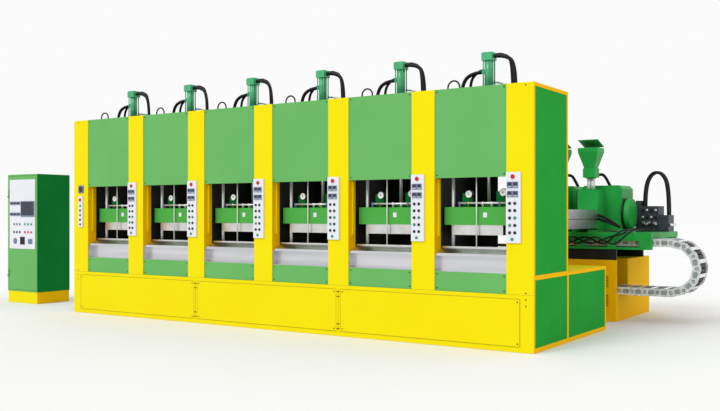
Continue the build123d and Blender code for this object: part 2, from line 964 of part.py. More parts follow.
plate_y = cabinet_rear - cabinet_wall
with BuildPart() as wiring_plate:
    block(
        (cabinet_left + wiring_margin, cabinet_right - wiring_margin),
        (plate_y - wiring_sheet, plate_y),
        (plinth_height + cabinet_wall, cabinet_height - wiring_margin),
    )
    for k in range(duct_count):
        block(
            (cabinet_left + wiring_margin, cabinet_right - wiring_margin),
            (plate_y - duct_depth, plate_y),
            around(door_z[0] + (k + 1) * duct_pitch, duct_height),
        )
finish(wiring_plate, "wiring_plate")

with BuildPart() as cabinet_door:
    block(door_x, (cabinet_front, cabinet_front + door_thickness), door_z)
    for z in door_hinge_z:
        span = (z - door_knuckle_length / 2, z + door_knuckle_length / 2)
        post(door_hinge_x, door_hinge_y, *span, door_knuckle_radius)
        block(
            (door_hinge_x, door_hinge_x + 2 * door_knuckle_radius),
            (door_hinge_y, cabinet_front),
            span,
        )
        post(
            door_hinge_x,
            door_hinge_y,
            span[0] - overrun,
            span[1] + overrun,
            door_pin_radius + running_fit,
            Mode.SUBTRACT,
        )
finish(cabinet_door, "cabinet_door")

with BuildPart() as cabinet_panel:
    panel_x = (door_x[0] + panel_inset, door_x[1] - panel_inset)
    block(panel_x, (cabinet_front - panel_sheet, cabinet_front), (panel_low, panel_high))
    screen_z = panel_low + screen_low_rise
    block(
        (panel_x[1] - screen_side - screen_width, panel_x[1] - screen_side),
        (cabinet_front - panel_sheet - screen_proud, cabinet_front),
        (screen_z, screen_z + screen_height),
    )
finish(cabinet_panel, "cabinet_panel")

# Hoses from the clamp cylinders down to the crown, as (across, up) places from each port
clamp_route = [(0, 0), (150, 0), (267, -117)]
with BuildPart() as clamp_hoses:
    for x in station_x:
        for side, reach, height in (
            (-1, cylinder_radius + cylinder_port_reach, port_low),
            (1, cylinder_cap / 2, port_high),
        ):
            route = [(x + side * (reach + across), press_y, height + up) for across, up in clamp_route]
            hose(route + [(route[-1][0], press_y, crown_top)], hose_diameter)
finish(clamp_hoses, "clamp_hoses")

# Twin arch of hoses from the manifold's top to its step
arch = [(0, 0), (0, 280), (95, 490), (245, 490), (340, 280)]
arch_inset = 100.0
arch_pitch = 80.0
with BuildPart() as unit_hoses:
    for row in (-1, 1):
        y = sum(manifold_y) / 2 + row * arch_pitch / 2
        port = manifold_left + arch_inset
        route = [(port + across, y, manifold_top + up) for across, up in arch]
        hose(route + [(route[-1][0], y, step_top)], hose_diameter)
finish(unit_hoses, "unit_hoses")
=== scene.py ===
"""Looks of a six-station injection moulding machine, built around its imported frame, in metres."""
import logging
import math
from dataclasses import dataclass, field
from enum import Enum

import bpy
from mathutils import Matrix, Vector


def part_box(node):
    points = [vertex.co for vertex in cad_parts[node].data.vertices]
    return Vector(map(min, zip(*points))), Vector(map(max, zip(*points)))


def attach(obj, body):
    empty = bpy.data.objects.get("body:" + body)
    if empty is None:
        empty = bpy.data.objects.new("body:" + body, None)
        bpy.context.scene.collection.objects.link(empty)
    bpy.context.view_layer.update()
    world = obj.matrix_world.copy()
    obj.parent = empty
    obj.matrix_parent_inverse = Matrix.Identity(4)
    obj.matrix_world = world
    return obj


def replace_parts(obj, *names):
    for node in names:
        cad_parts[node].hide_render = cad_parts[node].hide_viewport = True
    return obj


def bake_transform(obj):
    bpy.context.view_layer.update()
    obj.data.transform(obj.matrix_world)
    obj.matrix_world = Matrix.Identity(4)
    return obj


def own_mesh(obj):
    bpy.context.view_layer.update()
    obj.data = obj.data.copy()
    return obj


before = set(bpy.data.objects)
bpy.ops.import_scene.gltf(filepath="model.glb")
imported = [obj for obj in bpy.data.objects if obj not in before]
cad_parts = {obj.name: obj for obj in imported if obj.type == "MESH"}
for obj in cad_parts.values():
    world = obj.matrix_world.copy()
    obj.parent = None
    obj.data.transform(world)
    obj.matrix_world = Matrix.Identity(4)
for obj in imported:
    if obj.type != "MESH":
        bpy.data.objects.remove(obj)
LOG = logging.getLogger("machine")
MM = 0.001
REFLECTANCE_SHARE = 0.8
PATCH_DETAIL, GRAIN_DETAIL = 3.0, 2.0
PATCH_EDGES = (0.3, 0.7)
BUMP_STRENGTH = 0.6
COAT_ROUGHNESS = 0.15
SIDE_NORMAL = 0.7
FLAT = 1e-6
HOSE_STEPS, HOSE_ORDER, HOSE_ROUNDING = 16, 3, 5
Pair = tuple[float, float]
Point = tuple[float, float, float]
Profile = tuple[Pair, ...]
FRONT, BACK, RIGHT, UP = (0, -1, 0), (0, 1, 0), (1, 0, 0), (0, 0, 1)
SQUARE: Profile = ((-1, -1), (1, -1), (1, 1), (-1, 1))


class Slot(Enum):
    """Material slots of the record."""

    YELLOW = "yellow_paint"
    LIGHT_GREEN = "light_green_paint"
    GREEN = "green_paint"
    BLACK = "black_paint"
    STAINLESS = "stainless"
    STEEL = "bright_steel"
    PANEL = "white_panel"
    CLEAR = "clear_plastic"
    HOSE = "hose_rubber"


def linear(code: str) -> tuple[float, float, float, float]:
    """Turn an sRGB hex colour into linear RGBA.

    Args:
        code: Colour such as "#F8E512".
    Returns:
        Linear red, green, blue and alpha.
    """
    shares = [int(code[k : k + 2], 16) / 255 for k in (1, 3, 5)]
    return (*[s / 12.92 if s <= 0.04045 else ((s + 0.055) / 1.055) ** 2.4 for s in shares], 1.0)


def shift(place: Point, offset: Point) -> Point:
    """Move a place by an offset."""
    return tuple(a + b for a, b in zip(place, offset))


def add(tree: bpy.types.NodeTree, kind: str, links: dict | None = None, **settings) -> bpy.types.Node:
    """Add one shader node with its settings and the links into it.

    Args:
        tree: Node tree to add to.
        kind: Blender's node type.
        links: Input name to (node, output name).
        settings: Input values by name with spaces as underscores.
    Returns:
        The new node.
    """
    node = tree.nodes.new(kind)
    for name, value in settings.items():
        node.inputs[name.replace("_", " ")].default_value = value
    for name, (source, output) in (links or {}).items():
        tree.links.new(source.outputs[output], node.inputs[name])
    return node


@dataclass(frozen=True)
class Finish:
    """One surface: base colours, gloss and a fine grain, as a procedural material."""

    name: str
    colour: str
    second: str
    patch_mm: float
    roughness: float
    grain_mm: float
    grain_depth_mm: float = 0.05
    metallic: float = 0.0
    coat: float = 0.0
    transmission: float = 0.0
    stretch: Point = (1.0, 1.0, 1.0)
    specular: float = 0.2
    own_colour: bool = False

    def reflectance(self, code: str) -> tuple[float, ...]:
        """Turn a colour as it looks under the studio light into the surface's own colour.

        Args:
            code: sRGB hex colour.
        Returns:
            Linear RGBA, lowered by the light's share unless the colour is the surface's own.
        """
        share = 1.0 if self.metallic or self.own_colour else REFLECTANCE_SHARE
        return (*[value * share for value in linear(code)[:3]], 1.0)

    def build(self) -> bpy.types.Material:
        """Make the material, or return the one that exists.

        Returns:
            The procedural material of this finish.
        """
        known = bpy.data.materials.get(self.name)
        if known:
            return known
        material = bpy.data.materials.new(self.name)
        material.use_nodes = True
        tree = material.node_tree
        shader = tree.nodes["Principled BSDF"]
        place = add(tree, "ShaderNodeTexCoord")
        mapped = add(tree, "ShaderNodeMapping", {"Vector": (place, "Object")}, Scale=self.stretch)
        source = {"Vector": (mapped, "Vector")}
        patches, grain = [
            add(tree, "ShaderNodeTexNoise", source, Scale=1 / (size * MM), Detail=detail)
            for size, detail in ((self.patch_mm, PATCH_DETAIL), (self.grain_mm, GRAIN_DETAIL))
        ]
        colours = add(tree, "ShaderNodeValToRGB", {"Fac": (patches, "Fac")})
        for stop, edge, code in zip(colours.color_ramp.elements, PATCH_EDGES, (self.colour, self.second)):
            stop.position = edge
            stop.color = self.reflectance(code)
        depth = self.grain_depth_mm * MM
        bump = add(tree, "ShaderNodeBump", {"Height": (grain, "Fac")}, Strength=BUMP_STRENGTH, Distance=depth)
        tree.links.new(colours.outputs["Color"], shader.inputs["Base Color"])
        tree.links.new(bump.outputs["Normal"], shader.inputs["Normal"])
        inputs = {
            "Roughness": self.roughness,
            "Metallic": self.metallic,
            "Specular IOR Level": self.specular,
            "Coat Weight": self.coat,
            "Coat Roughness": COAT_ROUGHNESS,
            "Transmission Weight": self.transmission,
        }
        for name, value in inputs.items():
            shader.inputs[name].default_value = value
        return material


# Powder-coated sheet: bright even yellow with a faint orange-peel skin
YELLOW = Finish("yellow_powder_coat", "#FFEA0A", "#FFEE0E", 600, 0.5, 5, specular=0.05)
# The same coat, painted deeper and warmer: painted shade on side faces, and the bed takes it on every face
SHADE_DEEP_YELLOW = Finish(
    "painted_shade_deep_yellow_coat", "#F4B806", "#F6BE08", 600, 0.55, 5, specular=0.02, own_colour=True
)
# Painted shadow of the gaps between sheets
SEAM = Finish("painted_shadow_seam", "#8E7F1C", "#A39322", 80, 0.8, 5)
# Folded cover sheet: paler green that takes a soft sheen from the room
COVER_GREEN = Finish("light_green_powder_coat", "#69B963", "#6FBE68", 700, 0.5, 5)
# Side panels: deeper green enamel
GREEN = Finish("green_enamel", "#22A638", "#28AE3E", 500, 0.55, 6, specular=0.02)
# Platen beams: a paler coat of the same green, which keeps them clear of the dark behind
BEAM_GREEN = Finish("beam_green_enamel", "#50B44A", "#57BA51", 400, 0.5, 6, specular=0.1)
# Castings and housings of the injection side: darker enamel
HOUSING_GREEN = Finish("housing_green_enamel", "#22A644", "#2CB24E", 300, 0.4, 8, 0.2, specular=0.15)
# Clamp cylinders: bluish green enamel
CYLINDER_GREEN = Finish("cylinder_green_enamel", "#44B676", "#56C488", 200, 0.22, 8, coat=0.3)
# Dark green enamel: painted shade on the cabinet shell's side faces beside its light green front; the gauge
# brackets take it too
CABINET_GREEN = Finish("cabinet_green_enamel", "#0D8036", "#11873B", 500, 0.55, 6, specular=0.03)
# Frame paint inside the stations: near black, which also stands in for the shade deep in the openings so that
# they read as deep
BLACK = Finish("black_frame_paint", "#17191A", "#242627", 300, 0.5, 4)
# Valve block: phosphated iron, grey enough for its fittings to show their shadows
IRON = Finish("phosphated_iron", "#33363D", "#454952", 120, 0.45, 3, 0.1)
# Folded stainless sheet: brushed along the row, so highlights draw out sideways
STAINLESS = Finish(
    "brushed_stainless", "#BFC0C4", "#D9D9DC", 90, 0.3, 2.2, 0.06, metallic=1.0, stretch=(0.04, 1.0, 1.0)
)
# Ground and polished bars: bright with a dark streak
STEEL = Finish("polished_steel_bar", "#DADCDF", "#EDEFF1", 200, 0.16, 3, 0.01, metallic=1.0)
# Hard-chromed columns and rods: pale and a little diffuse, so they stay bright in the dark openings
CHROME = Finish("hard_chrome", "#E4E6E8", "#F4F5F6", 200, 0.28, 3, 0.01, metallic=0.5)
# Zinc-plated chain plates: spangled bright grey
ZINC = Finish("zinc_plated_steel", "#C3C6CC", "#EEF0F3", 40, 0.38, 9, 0.4, metallic=0.35)
# The same plates where they are pressed in: darker grey, painted shade of the windows and of the rings round
# the pins
RECESS_SHADE_ZINC = Finish("zinc_painted_recess_shade", "#84898E", "#A3A8AD", 30, 0.5, 6, 0.2, metallic=0.4)
# Milled plate: pale and satin, it takes up the colour of the posts beside it
ALUMINIUM = Finish("milled_aluminium", "#C9C9C6", "#DBDBD8", 120, 0.32, 2, 0.04, metallic=0.9)
# Moulded panel faces: cool white
PANEL = Finish("white_panel_plastic", "#F0F0FA", "#F5F5FC", 250, 0.4, 2, 0.02)
# Clear feed tubes: bright rims, lets the back show through
CLEAR = Finish("clear_acrylic", "#E9EFF0", "#F6F9F9", 80, 0.06, 10, 0.01, transmission=0.2, own_colour=True)
# Hydraulic hose cover: black rubber with a cloth print
RUBBER = Finish("black_hose_rubber", "#0D0D0E", "#1A1A1C", 30, 0.42, 2.5, 0.25)
# Dark instrument windows, with a faint plum tint
DISPLAY = Finish("dark_display_window", "#3A3A4A", "#45445A", 60, 0.2, 8, 0.01)
# Instrument bezels
BEZEL = Finish("grey_blue_bezel", "#7482A0", "#8492AE", 80, 0.4, 2, 0.02)
# Push buttons and stops
RED = Finish("red_button_plastic", "#C5162B", "#DA2A3C", 30, 0.3, 4, 0.02)
LIT_GREEN = Finish("green_button_plastic", "#0E9A6C", "#1DB583", 30, 0.3, 4, 0.02)
BUTTON_BLACK = Finish("black_button_plastic", "#101113", "#1C1D20", 30, 0.35, 4, 0.02)
# Gauge dials and the linings of the feed tubes
DIAL = Finish("white_dial_enamel", "#F1F2F2", "#FAFAFA", 40, 0.3, 5, 0.01, own_colour=True)
# Pipe fittings
BRASS = Finish("brass_fitting", "#B9A06A", "#D8C48E", 40, 0.28, 3, 0.03, metallic=1.0)
# Studio floor: pale and even, it goes over into the white background
FLOOR = Finish("pale_studio_floor", "#E9E9E9", "#ECECEC", 4000, 0.9, 40, 0.01, own_colour=True)

# Finish of each node, by how its name starts
NODE_FINISHES: dict[Finish, tuple[str, ...]] = {
    YELLOW: ("press_base", "base_front", "front_posts", "tower_end", "cabinet_plinth", "light_curtains"),
    SHADE_DEEP_YELLOW: ("injection_bed",),
    COVER_GREEN: ("upper_covers", "sill_covers", "cabinet_shell", "cabinet_door"),
    CYLINDER_GREEN: ("clamp_cylinders",),
    GREEN: ("end_panels",),
    HOUSING_GREEN: ("carriage", "injector_housing", "hopper"),
    BEAM_GREEN: ("platen",),
    BLACK: ("side_frames", "crown", "rear_guards", "travel_rails", "floor_ties"),
    IRON: ("valve_manifold",),
    STAINLESS: ("sill_trays", "shroud", "wiring_plate"),
    STEEL: ("guide_columns", "stroke_rods", "barrel", "screw", "mould_tables"),
    ZINC: ("chain",),
    ALUMINIUM: ("heating_plate",),
    PANEL: ("control_strips", "cabinet_panel"),
    CLEAR: ("sight_glass",),
    RUBBER: ("clamp_hoses", "unit_hoses"),
}
# Rows of finish, sides and pairs of (distance from the seat, share of the radius)
Shape = tuple[tuple[Finish, int, Profile], ...]
# Rows of offset, size and finish
Blocks = tuple[tuple[Point, Point, Finish], ...]


@dataclass
class Piece:
    """A mesh of several finishes that rides on one body of the frame."""

    name: str
    slot: Slot
    points: list[Point] = field(default_factory=list)
    faces: list[list[int]] = field(default_factory=list)
    marks: list[tuple[int, bool]] = field(default_factory=list)
    finishes: list[Finish] = field(default_factory=list)

    def _ring(self, ring: list[Point | Vector]) -> list[int]:
        """Add points.

        Args:
            ring: Their places.
        Returns:
            Their numbers.
        """
        start = len(self.points)
        self.points.extend(tuple(point) for point in ring)
        return list(range(start, len(self.points)))

    def _circle(self, centre: Vector, along: Vector, across: Vector, radius: float, sides: int) -> list[int]:
        """Add a ring of points round an axis.

        Args:
            centre: Middle of the ring.
            along: Direction of the axis.
            across: Direction of the first point.
            radius: Radius of the ring.
            sides: How many points it has.
        Returns:
            Their numbers.
        """
        beside = along.cross(across)
        angles = [2 * math.pi * k / sides for k in range(sides)]
        return self._ring([centre + (across * math.cos(a) + beside * math.sin(a)) * radius for a in angles])

    def _face(self, numbers: list[int], finish: Finish, smooth: bool = False) -> None:
        """Add one face.

        Args:
            numbers: Numbers of its points.
            finish: Its surface.
            smooth: Whether it is shaded smoothly.
        """
        if finish not in self.finishes:
            self.finishes.append(finish)
        self.faces.append(numbers)
        self.marks.append((self.finishes.index(finish), smooth))

    def _skin(self, rings: list[list[int]], finish: Finish, smooth: list[bool]) -> None:
        """Join rings of points into a closed skin.

        Args:
            rings: Point numbers of each ring.
            finish: Its surface.
            smooth: Whether each stretch between two rings is shaded smoothly.
        """
        for low, high, soft in zip(rings, rings[1:], smooth):
            for k in range(len(low)):
                after = (k + 1) % len(low)
                self._face([low[k], low[after], high[after], high[k]], finish, soft)
        self._face(rings[0][::-1], finish)
        self._face(rings[-1], finish)

    def box(self, low: Point, high: Point, finish: Finish) -> None:
        """Add a straight block between two corners.

        Args:
            low: Lowest corner.
            high: Highest corner.
            finish: Its surface.
        """
        (x0, y0, z0), (x1, y1, z1) = low, high
        n = self._ring([(x, y, z) for x in (x0, x1) for y in (y0, y1) for z in (z0, z1)])
        for side in ((0, 1, 3, 2), (4, 6, 7, 5), (0, 4, 5, 1), (2, 3, 7, 6), (0, 2, 6, 4), (1, 5, 7, 3)):
            self._face([n[k] for k in side], finish)

    def plate(self, middle: Point, size: Point, finish: Finish) -> None:
        """Add a straight block about its middle."""
        half = tuple(length / 2 for length in size)
        self.box(shift(middle, tuple(-length for length in half)), shift(middle, half), finish)

    def plates(self, place: Point, blocks: Blocks) -> None:
        """Add straight blocks about one place."""
        for offset, size, finish in blocks:
            self.plate(shift(place, offset), size, finish)

    def border(self, middle: Point, size: Pair, line: Pair, finish: Finish) -> None:
        """Draw the four edges of an upright rectangle that faces the front or the back.

        Args:
            middle: Middle of the rectangle.
            size: Its width and height.
            line: Width of the edges, and how thick they are.
            finish: Their surface.
        """
        (width, height), (breadth, depth) = size, line
        for side in (-1, 1):
            self.plate(shift(middle, (0, 0, side * height / 2)), (width, depth, breadth), finish)
            self.plate(shift(middle, (side * width / 2, 0, 0)), (breadth, depth, height), finish)

    def slats(self, middle: Point, size: Point, count: int, pitch: float) -> None:
        """Add a group of dark slats, one above the other.

        Args:
            middle: Middle of the group.
            size: Size of one slat.
            count: Number of slats.
            pitch: Distance from one to the next.
        """
        for k in range(count):
            self.plate(shift(middle, (0, 0, (k - (count - 1) / 2) * pitch)), size, BUTTON_BLACK)

    def turned(self, start: Point, axis: Point, profile: Profile, finish: Finish, sides: int = 32) -> None:
        """Add a round piece from a profile of (distance along the axis, radius) pairs.

        Args:
            start: Point on the axis from which distances count.
            axis: Direction of the axis.
            profile: Pairs along the axis, each a ring of the piece.
            finish: Its surface.
            sides: Points round each ring.
        """
        along = Vector(axis).normalized()
        across = along.orthogonal().normalized()
        foot = Vector(start)
        rings = [self._circle(foot + along * at, along, across, radius, sides) for at, radius in profile]
        self._skin(rings, finish, [abs(b[0] - a[0]) > FLAT for a, b in zip(profile, profile[1:])])

    def bar(self, start: Point, end: Point, radius: float, finish: Finish, sides: int = 24) -> None:
        """Add a plain round bar between two points."""
        reach = Vector(end) - Vector(start)
        self.turned(start, tuple(reach), ((0, radius), (reach.length, radius)), finish, sides)

    def knob(self, place: Point, radius: float, shape: Shape) -> None:
        """Add a round fitting of several finishes that faces the operator."""
        for finish, sides, pairs in shape:
            self.turned(place, FRONT, [(at, share * radius) for at, share in pairs], finish, sides)

    def prism(self, outline: list[Pair], y_low: float, y_high: float, finish: Finish) -> None:
        """Add an outline of (x, z) points drawn out along Y."""
        rings = [self._ring([(x, y, z) for x, z in outline]) for y in (y_high, y_low)]
        self._skin(rings, finish, [False])

    def pipe(
        self, points: list[Point], radius: float, finish: Finish, steps: int = 8, sides: int = 14
    ) -> None:
        """Add a bent pipe that runs smoothly through its points.

        Args:
            points: Places on the pipe's middle line.
            radius: Outside radius.
            finish: Its surface.
            steps: Rings from one point to the next.
            sides: Points round each ring.
        """
        spots = [Vector(point) for point in points]
        ends = [2 * spots[0] - spots[1], *spots, 2 * spots[-1] - spots[-2]]
        line = []
        for before, start, end, after in zip(ends, ends[1:], ends[2:], ends[3:]):
            bend = 2 * before - 5 * start + 4 * end - after
            twist = 3 * start - before - 3 * end + after
            for t in (k / steps for k in range(steps)):
                line.append((2 * start + (end - before) * t + bend * t**2 + twist * t**3) / 2)
        line.append(spots[-1])
        across = (line[1] - line[0]).orthogonal().normalized()
        rings = []
        for k, centre in enumerate(line):
            along = (line[min(k + 1, len(line) - 1)] - line[max(k - 1, 0)]).normalized()
            across = (across - along * across.dot(along)).normalized()
            rings.append(self._circle(centre, along, across, radius, sides))
        self._skin(rings, finish, [True] * len(rings))

    def make(self, body: str | None) -> bpy.types.Object:
        """Turn the gathered faces into an object.

        Args:
            body: Body of the frame that it rides on, or None where it is bent between two bodies instead.
        Returns:
            The new object.
        """
        mesh = bpy.data.meshes.new(self.name)
        mesh.from_pydata(self.points, [], self.faces)
        for finish in self.finishes:
            mesh.materials.append(finish.build())
        for polygon, (index, smooth) in zip(mesh.polygons, self.marks):
            polygon.material_index = index
            polygon.use_smooth = smooth
        mesh.update()
        made = bpy.data.objects.new(self.name, mesh)
        bpy.context.scene.collection.objects.link(made)
        if body:
            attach(made, body)
        LOG.info("%s has %d faces", self.name, len(self.faces))
        return made


def hose(name: str, points: list[Point], diameter: float, body: str, node: str) -> None:
    """Args:
        name: Name of the piece.
        points: Route, the control points of the smooth line.
        diameter: Outside diameter.
        body: Body that carries both ends.
        node: Node of the frame that the hose stands for.
    """
    data = bpy.data.curves.new(name, "CURVE")
    data.dimensions = "3D"
    data.resolution_u = HOSE_STEPS
    line = data.splines.new("NURBS")
    line.points.add(len(points) - 1)
    for spot, point in zip(line.points, points):
        spot.co = (*point, 1.0)
    line.order_u = HOSE_ORDER
    line.use_endpoint_u = True
    made = bpy.data.objects.new(name, data)
    bpy.context.scene.collection.objects.link(made)
    bpy.context.view_layer.update()
    bare = bpy.data.meshes.new_from_object(made.evaluated_get(bpy.context.evaluated_depsgraph_get()))
    bpy.data.meshes.remove(bare)
    data.bevel_depth = diameter / 2
    data.bevel_resolution = HOSE_ROUNDING
    data.use_fill_caps = True
    data.materials.append(RUBBER.build())
    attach(made, body)
    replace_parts(made, node)


@dataclass
class Press:
    """The clamping press: places that its details are measured from."""

    stations: int = 6
    pitch: float = 1.185
    post_width: float = 0.300

    def __post_init__(self) -> None:
        """Read the places from the frame."""
        base_low, base_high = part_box("press_base")
        self.front = base_low.y
        self.right = base_high.x
        self.middles = [(k - (self.stations - 1) / 2) * self.pitch for k in range(self.stations)]
        self.opening = self.pitch - self.post_width
        platen_low, platen_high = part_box("platen_1")
        self.axis_y = (platen_low.y + platen_high.y) / 2
        self.crown_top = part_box("crown")[1].z


@dataclass
class CoverScrews:
    """Small dark screws at the corners of the covers."""

    press: Press
    screw: Profile = ((0, 0.008), (0.0024, 0.008), (0.004, 0.0048))
    sides: int = 12
    sheets: int = 3
    inset: float = 0.03
    joint_inset: float = 0.062
    strip_inset: float = 0.013
    strip_pitch: float = 0.060
    post_inset: float = 0.09
    post_rows: tuple[float, ...] = (0.50, 0.57, 0.64, 2.87)

    def build(self) -> None:
        """Add the screws of the base sheets, the end posts and the covers."""
        low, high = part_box("base_front_covers")
        span = (high.x - low.x) / self.sheets
        corners = (low.z + self.inset, high.z - self.inset)
        strip = (*corners, corners[0] + self.strip_pitch, corners[1] - self.strip_pitch)
        places = [(x, low.y, z) for x in (low.x + self.inset, high.x - self.inset) for z in corners]
        for joint in (low.x + span, high.x - span):
            for side in (-1, 1):
                places += [(joint + side * self.joint_inset, low.y, z) for z in corners]
                places += [(joint + side * self.strip_inset, low.y, z) for z in strip]
        edge = self.press.right - self.post_inset
        places += [(x, self.press.front, z) for x in (edge, -edge) for z in self.post_rows]
        reach = self.press.opening / 2 - self.inset
        for low, high in (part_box("upper_covers"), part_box("sill_covers")):
            corners = (low.z + self.inset, high.z - self.inset)
            for middle in self.press.middles:
                places += [(middle + side * reach, low.y, z) for side in (-1, 1) for z in corners]
        piece = Piece("cover_screws", Slot.BLACK)
        for place in places:
            piece.turned(place, FRONT, self.screw, BUTTON_BLACK, self.sides)
        piece.make("press")


@dataclass
class SheetWork:
    """Shadow gaps between the press's sheets, tray cheeks and lifting loops."""

    press: Press
    line: Pair = (0.004, 0.0006)
    ledge_line: float = 0.0024
    sheets: int = 3
    edge: float = 0.006
    joint: float = 0.032
    cheek: float = 0.002
    cheek_depths: Pair = (0.010, 0.120)
    cheek_lift: float = 0.001
    cheek_top: float = 1.020
    rim_depth: float = 0.028
    rim_thickness: float = 0.002
    rim_heights: Pair = (-0.004, 0.016)
    loop_radius: float = 0.075
    loop_leg: float = 0.060
    loop_wire: float = 0.010
    loop_offset: float = 0.30
    loop_setback: float = 0.20
    loop_steps: int = 8

    def build(self) -> None:
        """Add the seams, the cheeks of the trays and the loops on the crown."""
        self._seams()
        self._cheeks()
        self._loops()

    def _seams(self) -> None:
        """Draw painted shadow lines along the edges of the base sheets and the ledge under the posts."""
        piece = Piece("sheet_seams", Slot.YELLOW)
        proud = self.line[1]
        low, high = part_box("base_front_covers")
        span = (high.x - low.x) / self.sheets
        for k in range(self.sheets):
            left = low.x + k * span + (self.joint if k else self.edge)
            right = low.x + (k + 1) * span - (self.joint if k + 1 < self.sheets else self.edge)
            middle = ((left + right) / 2, low.y - proud / 2, (low.z + high.z) / 2)
            piece.border(middle, (right - left, high.z - low.z), self.line, SEAM)
        ledge = (0, self.press.front - proud / 2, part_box("front_posts")[0].z)
        piece.plate(ledge, (2 * self.press.right, proud, self.ledge_line), SEAM)
        piece.make("press")

    def _cheeks(self) -> None:
        """Line the posts' inner sides beside the trays, and edge the trays' rims."""
        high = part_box("sill_trays")[1]
        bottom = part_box("sill_covers")[1].z + self.cheek_lift
        near, far = (self.press.front + depth for depth in self.cheek_depths)
        rim_low, rim_high = (high.z + height for height in self.rim_heights)
        rim = high.y - self.rim_depth
        half = self.press.opening / 2
        piece = Piece("tray_cheeks", Slot.STAINLESS)
        for middle in self.press.middles:
            for side in (-1, 1):
                left, right = sorted((middle + side * half, middle + side * (half - self.cheek)))
                piece.box((left, near, bottom), (right, far, self.cheek_top), STAINLESS)
            left, right = middle - half + self.cheek, middle + half - self.cheek
            piece.box((left, rim - self.rim_thickness, rim_low), (right, rim, rim_high), ALUMINIUM)
        piece.make("press")

    def _loops(self) -> None:
        """Stand a bent lifting loop on the crown beside each station."""
        piece = Piece("lifting_loops", Slot.STEEL)
        radius = self.loop_radius
        angles = [math.pi * (1 - k / self.loop_steps) for k in range(self.loop_steps + 1)]
        arch = [(radius * math.cos(a), 0, self.loop_leg + radius * math.sin(a)) for a in angles]
        for middle in self.press.middles:
            foot = (middle - self.loop_offset, self.press.front + self.loop_setback, self.press.crown_top)
            points = [shift(foot, spot) for spot in ((-radius, 0, 0), *arch, (radius, 0, 0))]
            piece.pipe(points, self.loop_wire, BLACK, 3, 10)
        piece.make("press")


@dataclass
class HeaderPipes:
    """Two oil pipes along the crown behind the cylinders, with saddles and a tee for each station."""

    press: Press
    radius: float = 0.024
    lift: float = 0.036
    pitch: float = 0.085
    inset: float = 0.090
    overhang: float = 0.330
    cap: Profile = ((-0.005, 0.032), (0.025, 0.032), (0.031, 0.026))
    tee_reach: float = 0.035
    tee_radius: float = 0.033
    tee_offset: float = 0.080
    branch_radius: float = 0.013
    branch_offset: float = 0.030
    branch_rises: Pair = (0.070, 0.100)
    branch_bends: Point = (0.050, 0.100, 0.060)
    saddle_places: Pair = (-0.42, 0.42)
    saddle: Point = (0.020, 0.045, 0.024)

    def build(self) -> None:
        """Add the pipes, their caps, tees and saddles."""
        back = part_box("crown")[1].y - self.inset
        top = self.press.crown_top
        z = top + self.lift
        reach = self.press.middles[-1] + self.overhang
        piece = Piece("header_pipes", Slot.STEEL)
        for y, sign in ((back, -1), (back - self.pitch, 1)):
            piece.bar((-reach, y, z), (reach, y, z), self.radius, STEEL)
            for side in (-1, 1):
                piece.turned((side * reach, y, z), (side, 0, 0), self.cap, BRASS, 6)
            for middle in self.press.middles:
                self._tee(piece, (middle + sign * self.tee_offset, y, z), middle + sign * self.branch_offset)
        half, overlap, height = self.saddle
        for x in (middle + offset for middle in self.press.middles for offset in self.saddle_places):
            low = (x - half, back - self.pitch - overlap, top)
            piece.box(low, (x + half, back + overlap, top + height), IRON)
        piece.make("press")

    def _tee(self, piece: Piece, place: Point, end: float) -> None:
        """Add one tee and the branch that leads from it to the cylinder.

        Args:
            piece: Mesh to add to.
            place: Middle of the tee.
            end: Where the branch ends along the row.
        """
        x, y, z = place
        piece.bar((x - self.tee_reach, y, z), (x + self.tee_reach, y, z), self.tee_radius, IRON, 8)
        knee, top = (z + rise for rise in self.branch_rises)
        bend, run, stop = self.branch_bends
        axis_y = self.press.axis_y
        route = [place, (x, y, knee), (x, y - bend, top), (x, axis_y + run, top), (end, axis_y + stop, top)]
        piece.pipe(route, self.branch_radius, STEEL)


